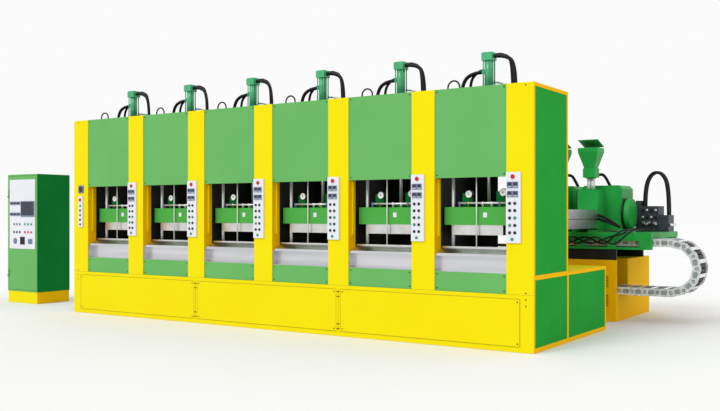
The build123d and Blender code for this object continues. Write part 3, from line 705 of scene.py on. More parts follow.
@dataclass
class RearWork:
    """Cable duct, conduits, guard fittings and cover seams on the press's back."""

    press: Press
    duct: Pair = (0.11, 0.09)
    duct_height: float = 2.46
    lid_joint: float = 0.03
    lid_proud: float = 0.004
    conduit_radius: float = 0.016
    conduit_gap: float = 0.040
    conduit_depth: float = 0.030
    clamp: Point = (0.10, 0.05, 0.02)
    clamp_rows: tuple[float, ...] = (1.1, 1.6, 2.1)
    guard_columns: Pair = (0.16, 0.41)
    guard_rows: tuple[float, ...] = (0.87, 1.35, 1.83, 2.28)
    grip: Profile = ((0, 1.50), (0.045, 1.515), (0.045, 1.665), (0, 1.68))
    grip_inset: float = 0.05
    grip_radius: float = 0.009
    cover: Pair = (0.74, 0.24)
    cover_height: float = 2.71
    cover_inset: float = 0.04
    screw: Profile = ((0, 0.011), (0.004, 0.011), (0.006, 0.0066))
    line: Pair = (0.005, 0.0008)

    def __post_init__(self) -> None:
        """Read the back wall and the deck from the frame, and work out where stations meet."""
        self.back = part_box("crown")[1].y
        self.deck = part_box("press_base")[1]
        count = self.press.stations
        self.joints = [(k + 1 - count / 2) * self.press.pitch for k in range(count - 1)]

    def build(self) -> None:
        """Add the duct, the fittings of the back wall and the seams of the deck behind it."""
        self._duct()
        self._guards()
        self._deck_seams()

    def _duct(self) -> None:
        """Add the cable duct with its lid joints, and two conduits down each inner post."""
        piece = Piece("rear_cable_duct", Slot.STEEL)
        depth, height = self.duct
        middle = (0, self.back + depth / 2, self.duct_height + height / 2)
        piece.plate(middle, (self.press.stations * self.press.pitch, depth, height), ZINC)
        lid = (self.lid_joint, depth + self.lid_proud, height + self.lid_proud)
        for x in self.joints:
            piece.plate(shift(middle, (x, 0, 0)), lid, IRON)
            for side in (-1, 1):
                place = (x + side * self.conduit_gap / 2, self.back + self.conduit_depth)
                piece.bar((*place, self.deck.z), (*place, self.duct_height), self.conduit_radius, ZINC, 16)
            for z in self.clamp_rows:
                piece.plate((x, self.back + self.clamp[1] / 2, z), self.clamp, IRON)
        piece.make("press")

    def _guards(self) -> None:
        """Add the guards' screws and grips, and the edges and screws of the crown's access covers."""
        piece = Piece("rear_guard_fittings", Slot.BLACK)
        width, height = self.cover
        across, up = width / 2 - self.cover_inset, height / 2 - self.cover_inset
        screws = [(a * across, self.cover_height + b * up) for a, b in SQUARE]
        screws += [(side * x, z) for side in (-1, 1) for x in self.guard_columns for z in self.guard_rows]
        for middle in self.press.middles:
            cover = (middle, self.back + self.line[1] / 2, self.cover_height)
            piece.border(cover, self.cover, self.line, BEZEL)
            for x, z in screws:
                piece.turned((middle + x, self.back, z), BACK, self.screw, STEEL, 10)
            for side in (-1, 1):
                x = middle + side * (self.guard_columns[0] + self.grip_inset)
                piece.pipe([(x, self.back + out, z) for out, z in self.grip], self.grip_radius, STEEL, 5, 10)
        piece.make("press")

    def _deck_seams(self) -> None:
        """Draw painted shadow lines at the joints of the deck's sheets, over its top and down its back."""
        piece = Piece("deck_seams", Slot.YELLOW)
        breadth, proud = self.line
        span = self.deck.y - self.back
        for x in self.joints:
            piece.plate((x, self.back + span / 2, self.deck.z + proud / 2), (breadth, span, proud), SEAM)
            piece.plate((x, self.deck.y + proud / 2, self.deck.z / 2), (breadth, proud, self.deck.z), SEAM)
        piece.make("press")


@dataclass
class ControlStrips:
    """Instruments and buttons on the posts."""

    press: Press
    strip_middle: float = 0.088
    stop_place: Pair = (-0.004, 1.892)
    stop_radius: float = 0.024
    stop: Shape = (
        (PANEL, 32, ((0, 1.15), (0.002, 1.15))),
        (BUTTON_BLACK, 32, ((0.002, 0.6), (0.007, 0.6))),
        (RED, 32, ((0.005, 0.85), (0.007, 1), (0.010, 1), (0.013, 0.8), (0.014, 0.4))),
    )
    controller_columns: Pair = (-0.039, 0.027)
    controller_rows: Pair = (1.802, 1.704)
    controller: Blocks = (
        ((0, -0.004, 0), (0.060, 0.008, 0.066), BEZEL),
        ((0, -0.0085, 0.010), (0.046, 0.001, 0.032), DISPLAY),
        ((-0.016, -0.009, -0.021), (0.010, 0.002, 0.007), PANEL),
        ((0, -0.009, -0.021), (0.010, 0.002, 0.007), PANEL),
        ((0.016, -0.009, -0.021), (0.010, 0.002, 0.007), PANEL),
    )
    button_radius: float = 0.014
    button_ring: Profile = ((0, 9 / 7), (0.004, 9 / 7))
    button_cap: Profile = ((0.004, 1), (0.010, 1), (0.012, 0.8))
    columns: Pair = (-0.040, 0.020)
    rows: tuple[float, ...] = (1.604, 1.526, 1.446, 1.366, 1.287)
    lit: tuple[tuple[int, int], ...] = ((2, 1), (3, 0))
    last_place: Pair = (-0.012, 1.216)
    first_inset: float = 0.165
    first_stop: float = 1.70
    first_row: float = 1.61
    first_pitch: float = 0.07
    first_finishes: tuple[Finish, ...] = (LIT_GREEN, BUTTON_BLACK, LIT_GREEN, BUTTON_BLACK, RED)
    gauge_height: float = 1.86
    gauge_plate: Point = (0.112, 0.012, 0.112)
    gauge_radius: float = 0.044
    gauge: Shape = ((DISPLAY, 32, ((0.012, 1), (0.018, 1), (0.021, 9 / 11))),)

    def build(self) -> None:
        """Add the strips' instruments, and the gauge and buttons of the first post."""
        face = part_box("control_strips")[0].y
        piece = Piece("strip_controls", Slot.PANEL)
        for middle in self.press.middles:
            x = middle + self.press.opening / 2 + self.strip_middle
            piece.knob((x + self.stop_place[0], face, self.stop_place[1]), self.stop_radius, self.stop)
            for z in self.controller_rows:
                for offset in self.controller_columns:
                    piece.plates((x + offset, face, z), self.controller)
            for row, z in enumerate(self.rows):
                for column, offset in enumerate(self.columns):
                    finish = LIT_GREEN if (row, column) in self.lit else BUTTON_BLACK
                    self._button(piece, (x + offset, face, z), finish)
            self._button(piece, (x + self.last_place[0], face, self.last_place[1]), LIT_GREEN)
        first = self.first_inset - self.press.right
        piece.knob((first, face, self.first_stop), self.stop_radius, self.stop)
        for k, finish in enumerate(self.first_finishes):
            self._button(piece, (first, face, self.first_row - self.first_pitch * k), finish)
        place = (first, self.press.front, self.gauge_height)
        piece.plate(shift(place, (0, -self.gauge_plate[1] / 2, 0)), self.gauge_plate, BEZEL)
        piece.knob(place, self.gauge_radius, self.gauge)
        piece.make("press")

    def _button(self, piece: Piece, place: Point, finish: Finish) -> None:
        """Add one push button in its ring."""
        shape = ((BEZEL, 24, self.button_ring), (finish, 24, self.button_cap))
        piece.knob(place, self.button_radius, shape)


@dataclass
class Stations:
    """Round bars, gauges, pipes and plates in the openings."""

    press: Press
    column_radius: float = 0.020
    stroke_radius: float = 0.008
    rod_radius: float = 0.0202
    beam_top: float = 1.568
    collar: Profile = ((0, 0.075), (0.045, 0.075), (0.050, 0.070))
    plate: Blocks = (((0.095, -0.0015, 1.478), (0.048, 0.003, 0.056), PANEL),)
    gauge_places: tuple[Point, ...] = ((-0.130, 0.06, 1.715), (0.285, 0.08, 1.730))
    gauge_radius: float = 0.046
    gauge: Shape = (
        (BUTTON_BLACK, 32, ((-0.0200, 1), (0.0160, 1), (0.0200, 0.94))),
        (DIAL, 32, ((0.0202, 0.88), (0.0207, 0.88))),
        (BUTTON_BLACK, 16, ((0.0208, 0.12), (0.0228, 0.12))),
    )
    hand: Blocks = (((-0.0092, -0.0215, 0.0115), (0.004, 0.001, 0.0322), BUTTON_BLACK),)
    bracket: Pair = (0.12, 0.05)
    bracket_place: Pair = (-0.04, 0.045)
    bracket_rise: float = 0.03
    pipe_setback: float = 0.035
    pipe_height: float = 0.045
    pipe_radius: float = 0.011
    pipe_ends: Pair = (-0.24, 0.40)
    fitting: Profile = ((0, 0.016), (0.030, 0.016), (0.032, 0.020), (0.060, 0.020))
    fitting_places: tuple[float, ...] = (-0.24, -0.13, 0.05, 0.16, 0.26, 0.38)
    fitting_finishes: tuple[Finish, ...] = (BEZEL, BRASS, CHROME, CHROME, BEZEL, BRASS)

    def build(self) -> None:
        """Add the round bars and the fittings of every platen."""
        low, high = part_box("guide_columns")
        thin_low, thin_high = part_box("stroke_rods")
        thin_y = (thin_low.y + thin_high.y) / 2
        radius = self.column_radius
        half_span = (high.x - low.x) / 2 - self.press.middles[-1] - radius
        columns = Piece("round_guide_columns", Slot.STEEL)
        rods = Piece("round_stroke_rods", Slot.STEEL)
        for number, middle in enumerate(self.press.middles, start=1):
            for x, y in ((middle - half_span, low.y + radius), (middle + half_span, high.y - radius)):
                columns.bar((x, y, low.z), (x, y, high.z), radius, CHROME, 40)
            start, end = ((middle, thin_y, z) for z in (thin_low.z, thin_high.z))
            rods.bar(start, end, self.stroke_radius, CHROME, 20)
            self._platen(number, middle)
        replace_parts(columns.make("press"), "guide_columns")
        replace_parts(rods.make("press"), "stroke_rods")

    def _platen(self, number: int, x: float) -> None:
        """Add the rod, collar, gauges, pipe and bare plate of one platen.

        Args:
            number: Number of the station.
            x: Its middle along the row.
        """
        low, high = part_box(f"platen_{number}")
        foot = (x, self.press.axis_y, self.beam_top)
        piece = Piece(f"platen_fittings_{number}", Slot.GREEN)
        piece.bar(foot, (x, self.press.axis_y, high.z), self.rod_radius, CHROME, 40)
        piece.turned(foot, UP, self.collar, BEAM_GREEN)
        piece.plates((x, low.y, 0), self.plate)
        for offset in self.gauge_places:
            place = shift((x, low.y, 0), offset)
            rise = place[2] - self.beam_top
            bracket = shift(place, (*self.bracket_place, -rise / 2))
            piece.plate(bracket, (*self.bracket, rise + self.bracket_rise), CABINET_GREEN)
            piece.knob(place, self.gauge_radius, self.gauge)
            piece.plates(place, self.hand)
        y, z = low.y + self.pipe_setback, self.beam_top + self.pipe_height
        start, end = ((x + reach, y, z) for reach in self.pipe_ends)
        piece.bar(start, end, self.pipe_radius, CHROME, 16)
        for offset, finish in zip(self.fitting_places, self.fitting_finishes):
            piece.turned((x + offset, y, self.beam_top), UP, self.fitting, finish, 6)
        piece.make(f"platen_{number}")


@dataclass
class ClampCylinders:
    """The clamp cylinders on the crown, with tie rods, hoses and pilot lines."""

    press: Press
    tube_radius: float = 0.052
    tube_drop: float = 0.004
    cap: float = 0.132
    cap_height: float = 0.094
    lip: float = 0.008
    foot_height: float = 0.060
    port: float = 0.044
    port_reach: float = 0.028
    low_port: float = 0.255
    tie_radius: float = 0.008
    tie_inset: float = 0.017
    nut: Profile = ((0, 0.014), (0.012, 0.014))
    hose_diameter: float = 0.044
    route: tuple[Pair, ...] = ((0, 0), (0.150, 0), (0.267, -0.117))
    line_radius: float = 0.017
    line_route: tuple[Point, ...] = ((0.045, 0.035, 0.022), (0.150, 0.052, 0.018), (0.245, 0.056, -0.070))
    line_end: Pair = (0.275, 0.056)

    def build(self) -> None:
        """Add the cylinders with both hoses and pilot lines of each."""
        deck, y = self.press.crown_top, self.press.axis_y
        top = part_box("clamp_cylinders")[1].z
        sides = (
            ("left", -1, self.tube_radius + self.port_reach, deck + self.low_port),
            ("right", 1, self.cap / 2, top - self.cap_height / 2),
        )
        piece = Piece("clamp_cylinder_set", Slot.LIGHT_GREEN)
        for number, x in enumerate(self.press.middles, start=1):
            self._cylinder(piece, (x, y, deck), top)
            for word, side, reach, height in sides:
                line = [(x + side * out, y + back, height + up) for out, back, up in self.line_route]
                line.append((x + side * self.line_end[0], y + self.line_end[1], deck))
                piece.pipe(line, self.line_radius, RUBBER)
                points = [(x + side * (reach + out), y, height + up) for out, up in self.route]
                points.append((points[-1][0], y, deck))
                hose(f"clamp_hose_{word}_{number}", points, self.hose_diameter, "press", "clamp_hoses")
        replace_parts(piece.make("press"), "clamp_cylinders")

    def _cylinder(self, piece: Piece, foot: Point, top: float) -> None:
        """Add one cylinder: foot, tube, cap, port, tie rods and nuts.

        Args:
            piece: Mesh to add to.
            foot: Middle of its foot, on the crown.
            top: Height of its cap's top.
        """
        x, y, z = foot
        edge = top - self.lip
        inner = self.cap - 2 * self.lip
        blocks = (
            (self.cap, z, z + self.foot_height),
            (self.cap, top - self.cap_height, edge),
            (inner, edge, top),
        )
        for width, low, high in blocks:
            piece.plate((x, y, (low + high) / 2), (width, width, high - low), CYLINDER_GREEN)
        piece.bar(foot, (x, y, top - self.tube_drop), self.tube_radius, CYLINDER_GREEN, 64)
        reach = self.tube_radius + self.port_reach
        piece.plate((x - reach / 2, y, z + self.low_port), (reach, self.port, self.port), CYLINDER_GREEN)
        inset = self.cap / 2 - self.tie_inset
        for spot in ((x + a * inset, y + b * inset) for a, b in SQUARE):
            piece.bar((*spot, z), (*spot, edge), self.tie_radius, CYLINDER_GREEN, 12)
            piece.turned((*spot, z + self.foot_height), UP, self.nut, STEEL, 6)


@dataclass
class EnergyChain:
    """The plated steel chain that feeds the carriage: lower run, bend and upper run."""

    pitch: float = 0.174
    lap: float = 0.080
    width: float = 0.440
    height: float = 0.110
    plate: float = 0.010
    gap: float = 0.0005
    bend_links: int = 6
    end_points: int = 7
    end_share: float = 0.9
    end_turn_share: float = 0.84
    pin_radius: float = 0.022
    # The darker ring round each pin head is painted shade of its recess
    pin: Shape = ((RECESS_SHADE_ZINC, 16, ((-0.004, 1), (0, 1))), (ZINC, 16, ((-0.004, 0.6), (0.0002, 0.6))))
    window: Pair = (0.042, 0.030)
    window_shares: Profile = (
        (-1, 0.45), (-0.7, 1), (0.7, 1), (1, 0.45), (1, -0.45), (0.7, -1), (-0.7, -1), (-1, -0.45),
    )
    window_edges: Pair = (-0.002, 0.0002)
    bar: Pair = (0.026, 0.005)
    bar_inset: float = 0.004
    cables: int = 5
    cable_pitch: float = 0.074
    cable_radius: float = 0.032
    fold_gap: float = 0.003
    travel: float = 6.052

    def build(self) -> None:
        """Add the three stretches of chain in place of the frame's plain ones."""
        low_box, high_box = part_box("chain_lower_run"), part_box("chain_upper_run")
        bend_x = low_box[1].x - self.lap / 2
        y = (low_box[0].y + low_box[1].y) / 2
        z_low, z_high = ((low.z + high.z) / 2 for low, high in (low_box, high_box))
        lower_count, upper_count = (
            round((bend_x - low.x - self.lap / 2) / self.pitch) for low, _ in (low_box, high_box)
        )
        lower = Piece("chain_lower_links", Slot.STEEL)
        for k in range(lower_count):
            self._link(lower, (bend_x - (k + 0.5) * self.pitch, y, z_low), 0.0, k % 2)
        made = lower.make("press")
        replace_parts(made, "chain_lower_run")
        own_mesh(made)
        bend = Piece("chain_bend_links", Slot.STEEL)
        radius = (z_high - z_low) / 2
        step = math.pi / self.bend_links
        reach = radius * math.cos(step / 2)
        for k in range(self.bend_links):
            angle = (k + 0.5) * step - math.pi / 2
            spot = (bend_x + reach * math.cos(angle), y, z_low + radius + reach * math.sin(angle))
            self._link(bend, spot, angle + math.pi / 2, (k + 1) % 2)
        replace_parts(bend.make("chain_bend"), "chain_bend")
        upper = Piece("chain_upper_links", Slot.STEEL)
        for k in range(upper_count):
            place = (bend_x - (k + 0.5) * self.pitch, y, z_high)
            self._link(upper, place, math.pi, (self.bend_links + 1 + k) % 2)
        made = upper.make(None)
        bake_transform(made)
        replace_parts(made, "chain_upper_run")

    def _plate_outline(self) -> list[Pair]:
        """Work out the round-ended outline of one side plate.

        Returns:
            Its points about the link's middle, (along, up).
        """
        up = self.height / 2
        round_end = up * self.end_share
        straight = (self.pitch + self.lap) / 2 - round_end
        turn = math.pi * self.end_turn_share
        outline = []
        for side in (1, -1):
            for k in range(self.end_points):
                angle = (k / (self.end_points - 1) - 0.5) * turn
                along = side * (straight + round_end * math.cos(angle))
                outline.append((along, side * up * math.sin(angle) / math.sin(turn / 2)))
        return outline

    def _set(self, place: Point, heading: float, outline: list[Pair]) -> list[Pair]:
        """Turn an outline about its link's middle and set it in place.

        Args:
            place: Middle of the link.
            heading: Its turn about Y.
            outline: Points about the middle, (along, up).
        Returns:
            The points as (x, z).
        """
        turn = Matrix.Rotation(heading, 2)
        spots = [turn @ Vector(point) for point in outline]
        return [(place[0] + spot.x, place[2] + spot.y) for spot in spots]

    def _link(self, piece: Piece, place: Point, heading: float, layer: int) -> None:
        """Add one link: two windowed plates, pivot heads, cross bars and its length of the cables.

        Args:
            piece: Mesh to add to.
            place: Middle of the link.
            heading: Its turn about Y.
            layer: 0 where its plates lie outside their neighbours', 1 where they lie inside.
        """
        y = place[1]
        outer = self.width / 2 - layer * (self.plate + self.gap)
        plate = self._set(place, heading, self._plate_outline())
        across, up = self.window
        window = self._set(place, heading, [(a * across, b * up) for a, b in self.window_shares])
        pivots = self._set(place, heading, [(end * self.pitch / 2, 0) for end in (-1, 1)])
        for side in (-1, 1):
            near = y + side * outer
            piece.prism(plate, *sorted((near, near - side * self.plate)), ZINC)
            # The windows are darker patches on the plate's face: painted shade of the openings
            piece.prism(window, *sorted(near + side * edge for edge in self.window_edges), RECESS_SHADE_ZINC)
            for x, z in pivots if layer == 0 else ():
                for finish, sides, pairs in self.pin:
                    profile = [(at, share * self.pin_radius) for at, share in pairs]
                    piece.turned((x, near, z), (0, side, 0), profile, finish, sides)
        reach = outer - self.plate
        half, thin = self.bar
        for level in (-1, 1):
            lift = level * (self.height / 2 - thin - self.bar_inset)
            bar = self._set(place, heading, [(a * half, lift + b * thin) for a, b in SQUARE])
            piece.prism(bar, y - reach, y + reach, STEEL)
        radius = self.cable_radius
        cable = self._set(place, heading, [(a * self.pitch / 2, b * radius) for a, b in SQUARE])
        for row in range(self.cables):
            middle = y + (row - (self.cables - 1) / 2) * self.cable_pitch
            piece.prism(cable, middle - radius, middle + radius, RUBBER)


@dataclass
class InjectionUnits:
    """Round parts, fittings, lines and hoses of the two injection units."""

    axis_height: float = 1.417
    barrel: Profile = (
        (0, 0.008), (0.010, 0.014), (0.060, 0.014), (0.065, 0.034), (0.700, 0.034), (0.702, 0.070),
    )
    ram: Profile = ((-0.45, 0.0952), (-0.04, 0.0952), (-0.0005, 0.08))
    ram_bolt: Profile = ((-0.45, 0.015), (-0.438, 0.015))
    ram_bolt_circle: float = 0.128
    bolts: int = 8
    drum_setback: float = 0.425
    drum_height: float = 1.490
    drum: Profile = ((-0.12, 0.2152), (-0.015, 0.2152), (-0.0005, 0.200), (-0.0001, 0.10))
    belt: Profile = ((-0.108, 0.2185), (-0.104, 0.224), (-0.078, 0.224), (-0.074, 0.2185))
    drum_bolt: Profile = ((-0.0065, 0.012), (-0.0001, 0.012))
    drum_bolt_circle: float = 0.155
    loop: tuple[Point, ...] = (
        (-0.10, 0.45, -0.002), (-0.06, 0.47, 0.13), (0.06, 0.50, 0.16), (0.16, 0.52, -0.002),
    )
    loop_radius: float = 0.022
    lead_radius: float = 0.020
    hopper_lug: Point = (0.004, 0.29, 0.061)
    hopper_lug_drop: float = 0.085
    shroud_line: Pair = (0.002, 0.008)
    shroud_inset: float = 0.02
    tube_radius: float = 0.029
    tube_gap: float = 0.001
    tube_collar: float = 0.010
    lining_share: float = 0.8
    lining_drop: float = 0.05

    def build(self) -> None:
        """Add the details of both units."""
        for number, side in ((1, -1), (2, 1)):
            self._barrel(number)
            self._sight_tubes(number)
            self._fittings(number, side)

    def _barrel(self, number: int) -> None:
        """Turn the barrel with its nozzle in place of the frame's plain one.

        Args:
            number: Number of the unit.
        """
        low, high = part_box(f"barrel_{number}")
        piece = Piece(f"turned_barrel_{number}", Slot.STEEL)
        profile = (*self.barrel, (high.y - low.y, self.barrel[-1][1]))
        piece.turned(((low.x + high.x) / 2, low.y, self.axis_height), BACK, profile, STEEL, 48)
        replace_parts(piece.make(f"unit_{number}"), f"barrel_{number}")

    def _sight_tubes(self, number: int) -> None:
        """Stand two round clear tubes in place of the frame's plain one.

        Args:
            number: Number of the unit.
        """
        low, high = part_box(f"sight_glass_{number}")
        y = (low.y + high.y) / 2
        piece = Piece(f"clear_feed_tubes_{number}", Slot.CLEAR)
        for side in (-1, 1):
            x = (low.x + high.x) / 2 + side * (self.tube_radius + self.tube_gap)
            piece.bar((x, y, low.z), (x, y, high.z), self.tube_radius, CLEAR, 32)
            top = high.z - self.lining_drop
            piece.bar((x, y, low.z), (x, y, top), self.tube_radius * self.lining_share, DIAL)
        for z in (low.z, high.z - self.tube_collar):
            piece.box((low.x, low.y, z), (high.x, high.y, z + self.tube_collar), HOUSING_GREEN)
        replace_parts(piece.make(f"unit_{number}"), f"sight_glass_{number}")

    def _fittings(self, number: int, side: int) -> None:
        """Add the ram, motor drum, lines, hopper lug and shroud seams of one unit.

        Args:
            number: Number of the unit.
            side: Side of the housing that the drum is on, -1 or 1 along X.
        """
        low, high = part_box(f"injector_housing_{number}")
        shroud_low, shroud_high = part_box(f"shroud_{number}")
        barrel_low, barrel_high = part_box(f"barrel_{number}")
        x = (barrel_low.x + barrel_high.x) / 2
        piece = Piece(f"unit_fittings_{number}", Slot.GREEN)
        end = (x, high.y, self.axis_height)
        piece.turned(end, BACK, self.ram, HOUSING_GREEN, 48)
        drum = (high.x if side > 0 else low.x, low.y + self.drum_setback, self.drum_height)
        for profile, finish in ((self.drum, HOUSING_GREEN), (self.belt, RUBBER)):
            piece.turned(drum, (side, 0, 0), profile, finish, 64)
        for k in range(self.bolts):
            angle = 2 * math.pi * k / self.bolts
            spot = [self.drum_bolt_circle * share for share in (math.cos(angle), math.sin(angle))]
            piece.turned(shift(drum, (0, *spot)), (side, 0, 0), self.drum_bolt, BUTTON_BLACK, 6)
            angle += math.pi / self.bolts
            across, up = (self.ram_bolt_circle * share for share in (math.cos(angle), math.sin(angle)))
            piece.turned(shift(end, (across, 0, up)), BACK, self.ram_bolt, BUTTON_BLACK, 6)
        piece.pipe([shift((x, low.y, high.z), spot) for spot in self.loop], self.loop_radius, RUBBER)
        # Only the unit with its drum on the right has leads from its shroud to its housing
        if side > 0:
            for k in range(2):
                points = [
                    (shroud_high.x - 0.002, low.y - 0.045, 1.470 - 0.05 * k),
                    (shroud_high.x + 0.09, low.y - 0.030, 1.440 - 0.05 * k),
                    (shroud_high.x + 0.22, low.y - 0.024, 1.360 - 0.02 * k),
                    (high.x - 0.05, low.y + 0.004, 1.300),
                ]
                piece.pipe(points, self.lead_radius, RUBBER)
        rim_low, rim_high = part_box(f"hopper_{number}")
        lug = (rim_low.x, rim_low.y, rim_high.z - self.hopper_lug_drop)
        piece.box(lug, shift(lug, self.hopper_lug), HOUSING_GREEN)
        thick, tall = self.shroud_line
        middle = (shroud_low + shroud_high) / 2
        seam = (thick, shroud_high.y - shroud_low.y - self.shroud_inset, tall)
        for edge in (shroud_low.x - thick / 2, shroud_high.x + thick / 2):
            piece.plate((edge, middle.y, middle.z), seam, BUTTON_BLACK)
        piece.make(f"unit_{number}")


@dataclass
class Manifold:
    """Fittings and hoses of the valve block, and the cables that lead from it along the carriage."""

    arch: tuple[Pair, ...] = ((0, 0), (0, 0.280), (0.095, 0.490), (0.245, 0.490), (0.340, 0.280))
    arch_inset: float = 0.100
    arch_pitch: float = 0.080
    step_drop: float = 0.130
    valve_height: float = 0.080
    hose_diameter: float = 0.044
    fitting: Profile = ((0, 0.020), (0.020, 0.020), (0.022, 0.014), (0.050, 0.014))
    fitting_columns: tuple[float, ...] = (0.11, 0.17, 0.23, 0.29)
    fitting_rows: tuple[float, ...] = (0.06, 0.16, 0.26)
    end_fitting: Profile = ((0, 0.022), (0.030, 0.022), (0.034, 0.015), (0.060, 0.015))
    end_columns: tuple[float, ...] = (0.06, 0.15, 0.24)
    end_height: float = 0.10
    cable_radius: float = 0.011
    cable_count: int = 3
    cable_loops: int = 5
    cable_clip: Point = (0.05, 0.03, 0.05)

    def build(self) -> None:
        """Add the fittings, the twin arch of hoses and the cables."""
        low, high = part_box("valve_manifold")
        top = high.z - self.valve_height
        piece = Piece("manifold_fittings", Slot.BLACK)
        for row, down in enumerate(self.fitting_rows):
            for column, out in enumerate(self.fitting_columns):
                finish = STEEL if (row + column) % 2 else RUBBER
                piece.turned((low.x + out, low.y, top - down), FRONT, self.fitting, finish, 6)
        for out in self.end_columns:
            piece.turned((high.x, low.y + out, low.z + self.end_height), RIGHT, self.end_fitting, STEEL, 6)
        piece.make("carriage")
        for number, row in ((1, -1), (2, 1)):
            y = (low.y + high.y) / 2 + row * self.arch_pitch / 2
            points = [(low.x + self.arch_inset + across, y, top + up) for across, up in self.arch]
            points.append((points[-1][0], y, top - self.step_drop))
            hose(f"arch_hose_{number}", points, self.hose_diameter, "carriage", "unit_hoses")
        self._cables(low)

    def _cables(self, block: Vector) -> None:
        """Lead black cables over the deck and in loops along the carriage's front.

        Args:
            block: Lowest corner of the valve block.
        """
        front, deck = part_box("carriage")[0].y, block.z
        piece = Piece("carriage_pipes", Slot.BLACK)
        for k in range(self.cable_count):
            x = block.x + 0.12 + 0.08 * k
            fall = front - 0.016 - 0.024 * k
            points = [
                (x, block.y, deck + 0.12),
                (x, block.y - 0.20, deck + 0.07),
                (x - 0.02, front + 0.25, deck + 0.03),
                (x - 0.05, front + 0.04, deck + 0.03),
                (x - 0.11, fall - 0.02, deck - 0.02),
            ]
            for loop in range(self.cable_loops - k):
                swing = -1 if (loop + k) % 2 else 1
                points.append((x - 0.30 - 0.26 * loop, fall, deck - 0.11 - swing * 0.045))
            points.append((points[-1][0] - 0.20, front + 0.01, deck - 0.06))
            piece.pipe(points, self.cable_radius, RUBBER)
            for spot in (points[0], points[-1]):
                piece.plate(spot, self.cable_clip, STEEL)
        piece.make("carriage")


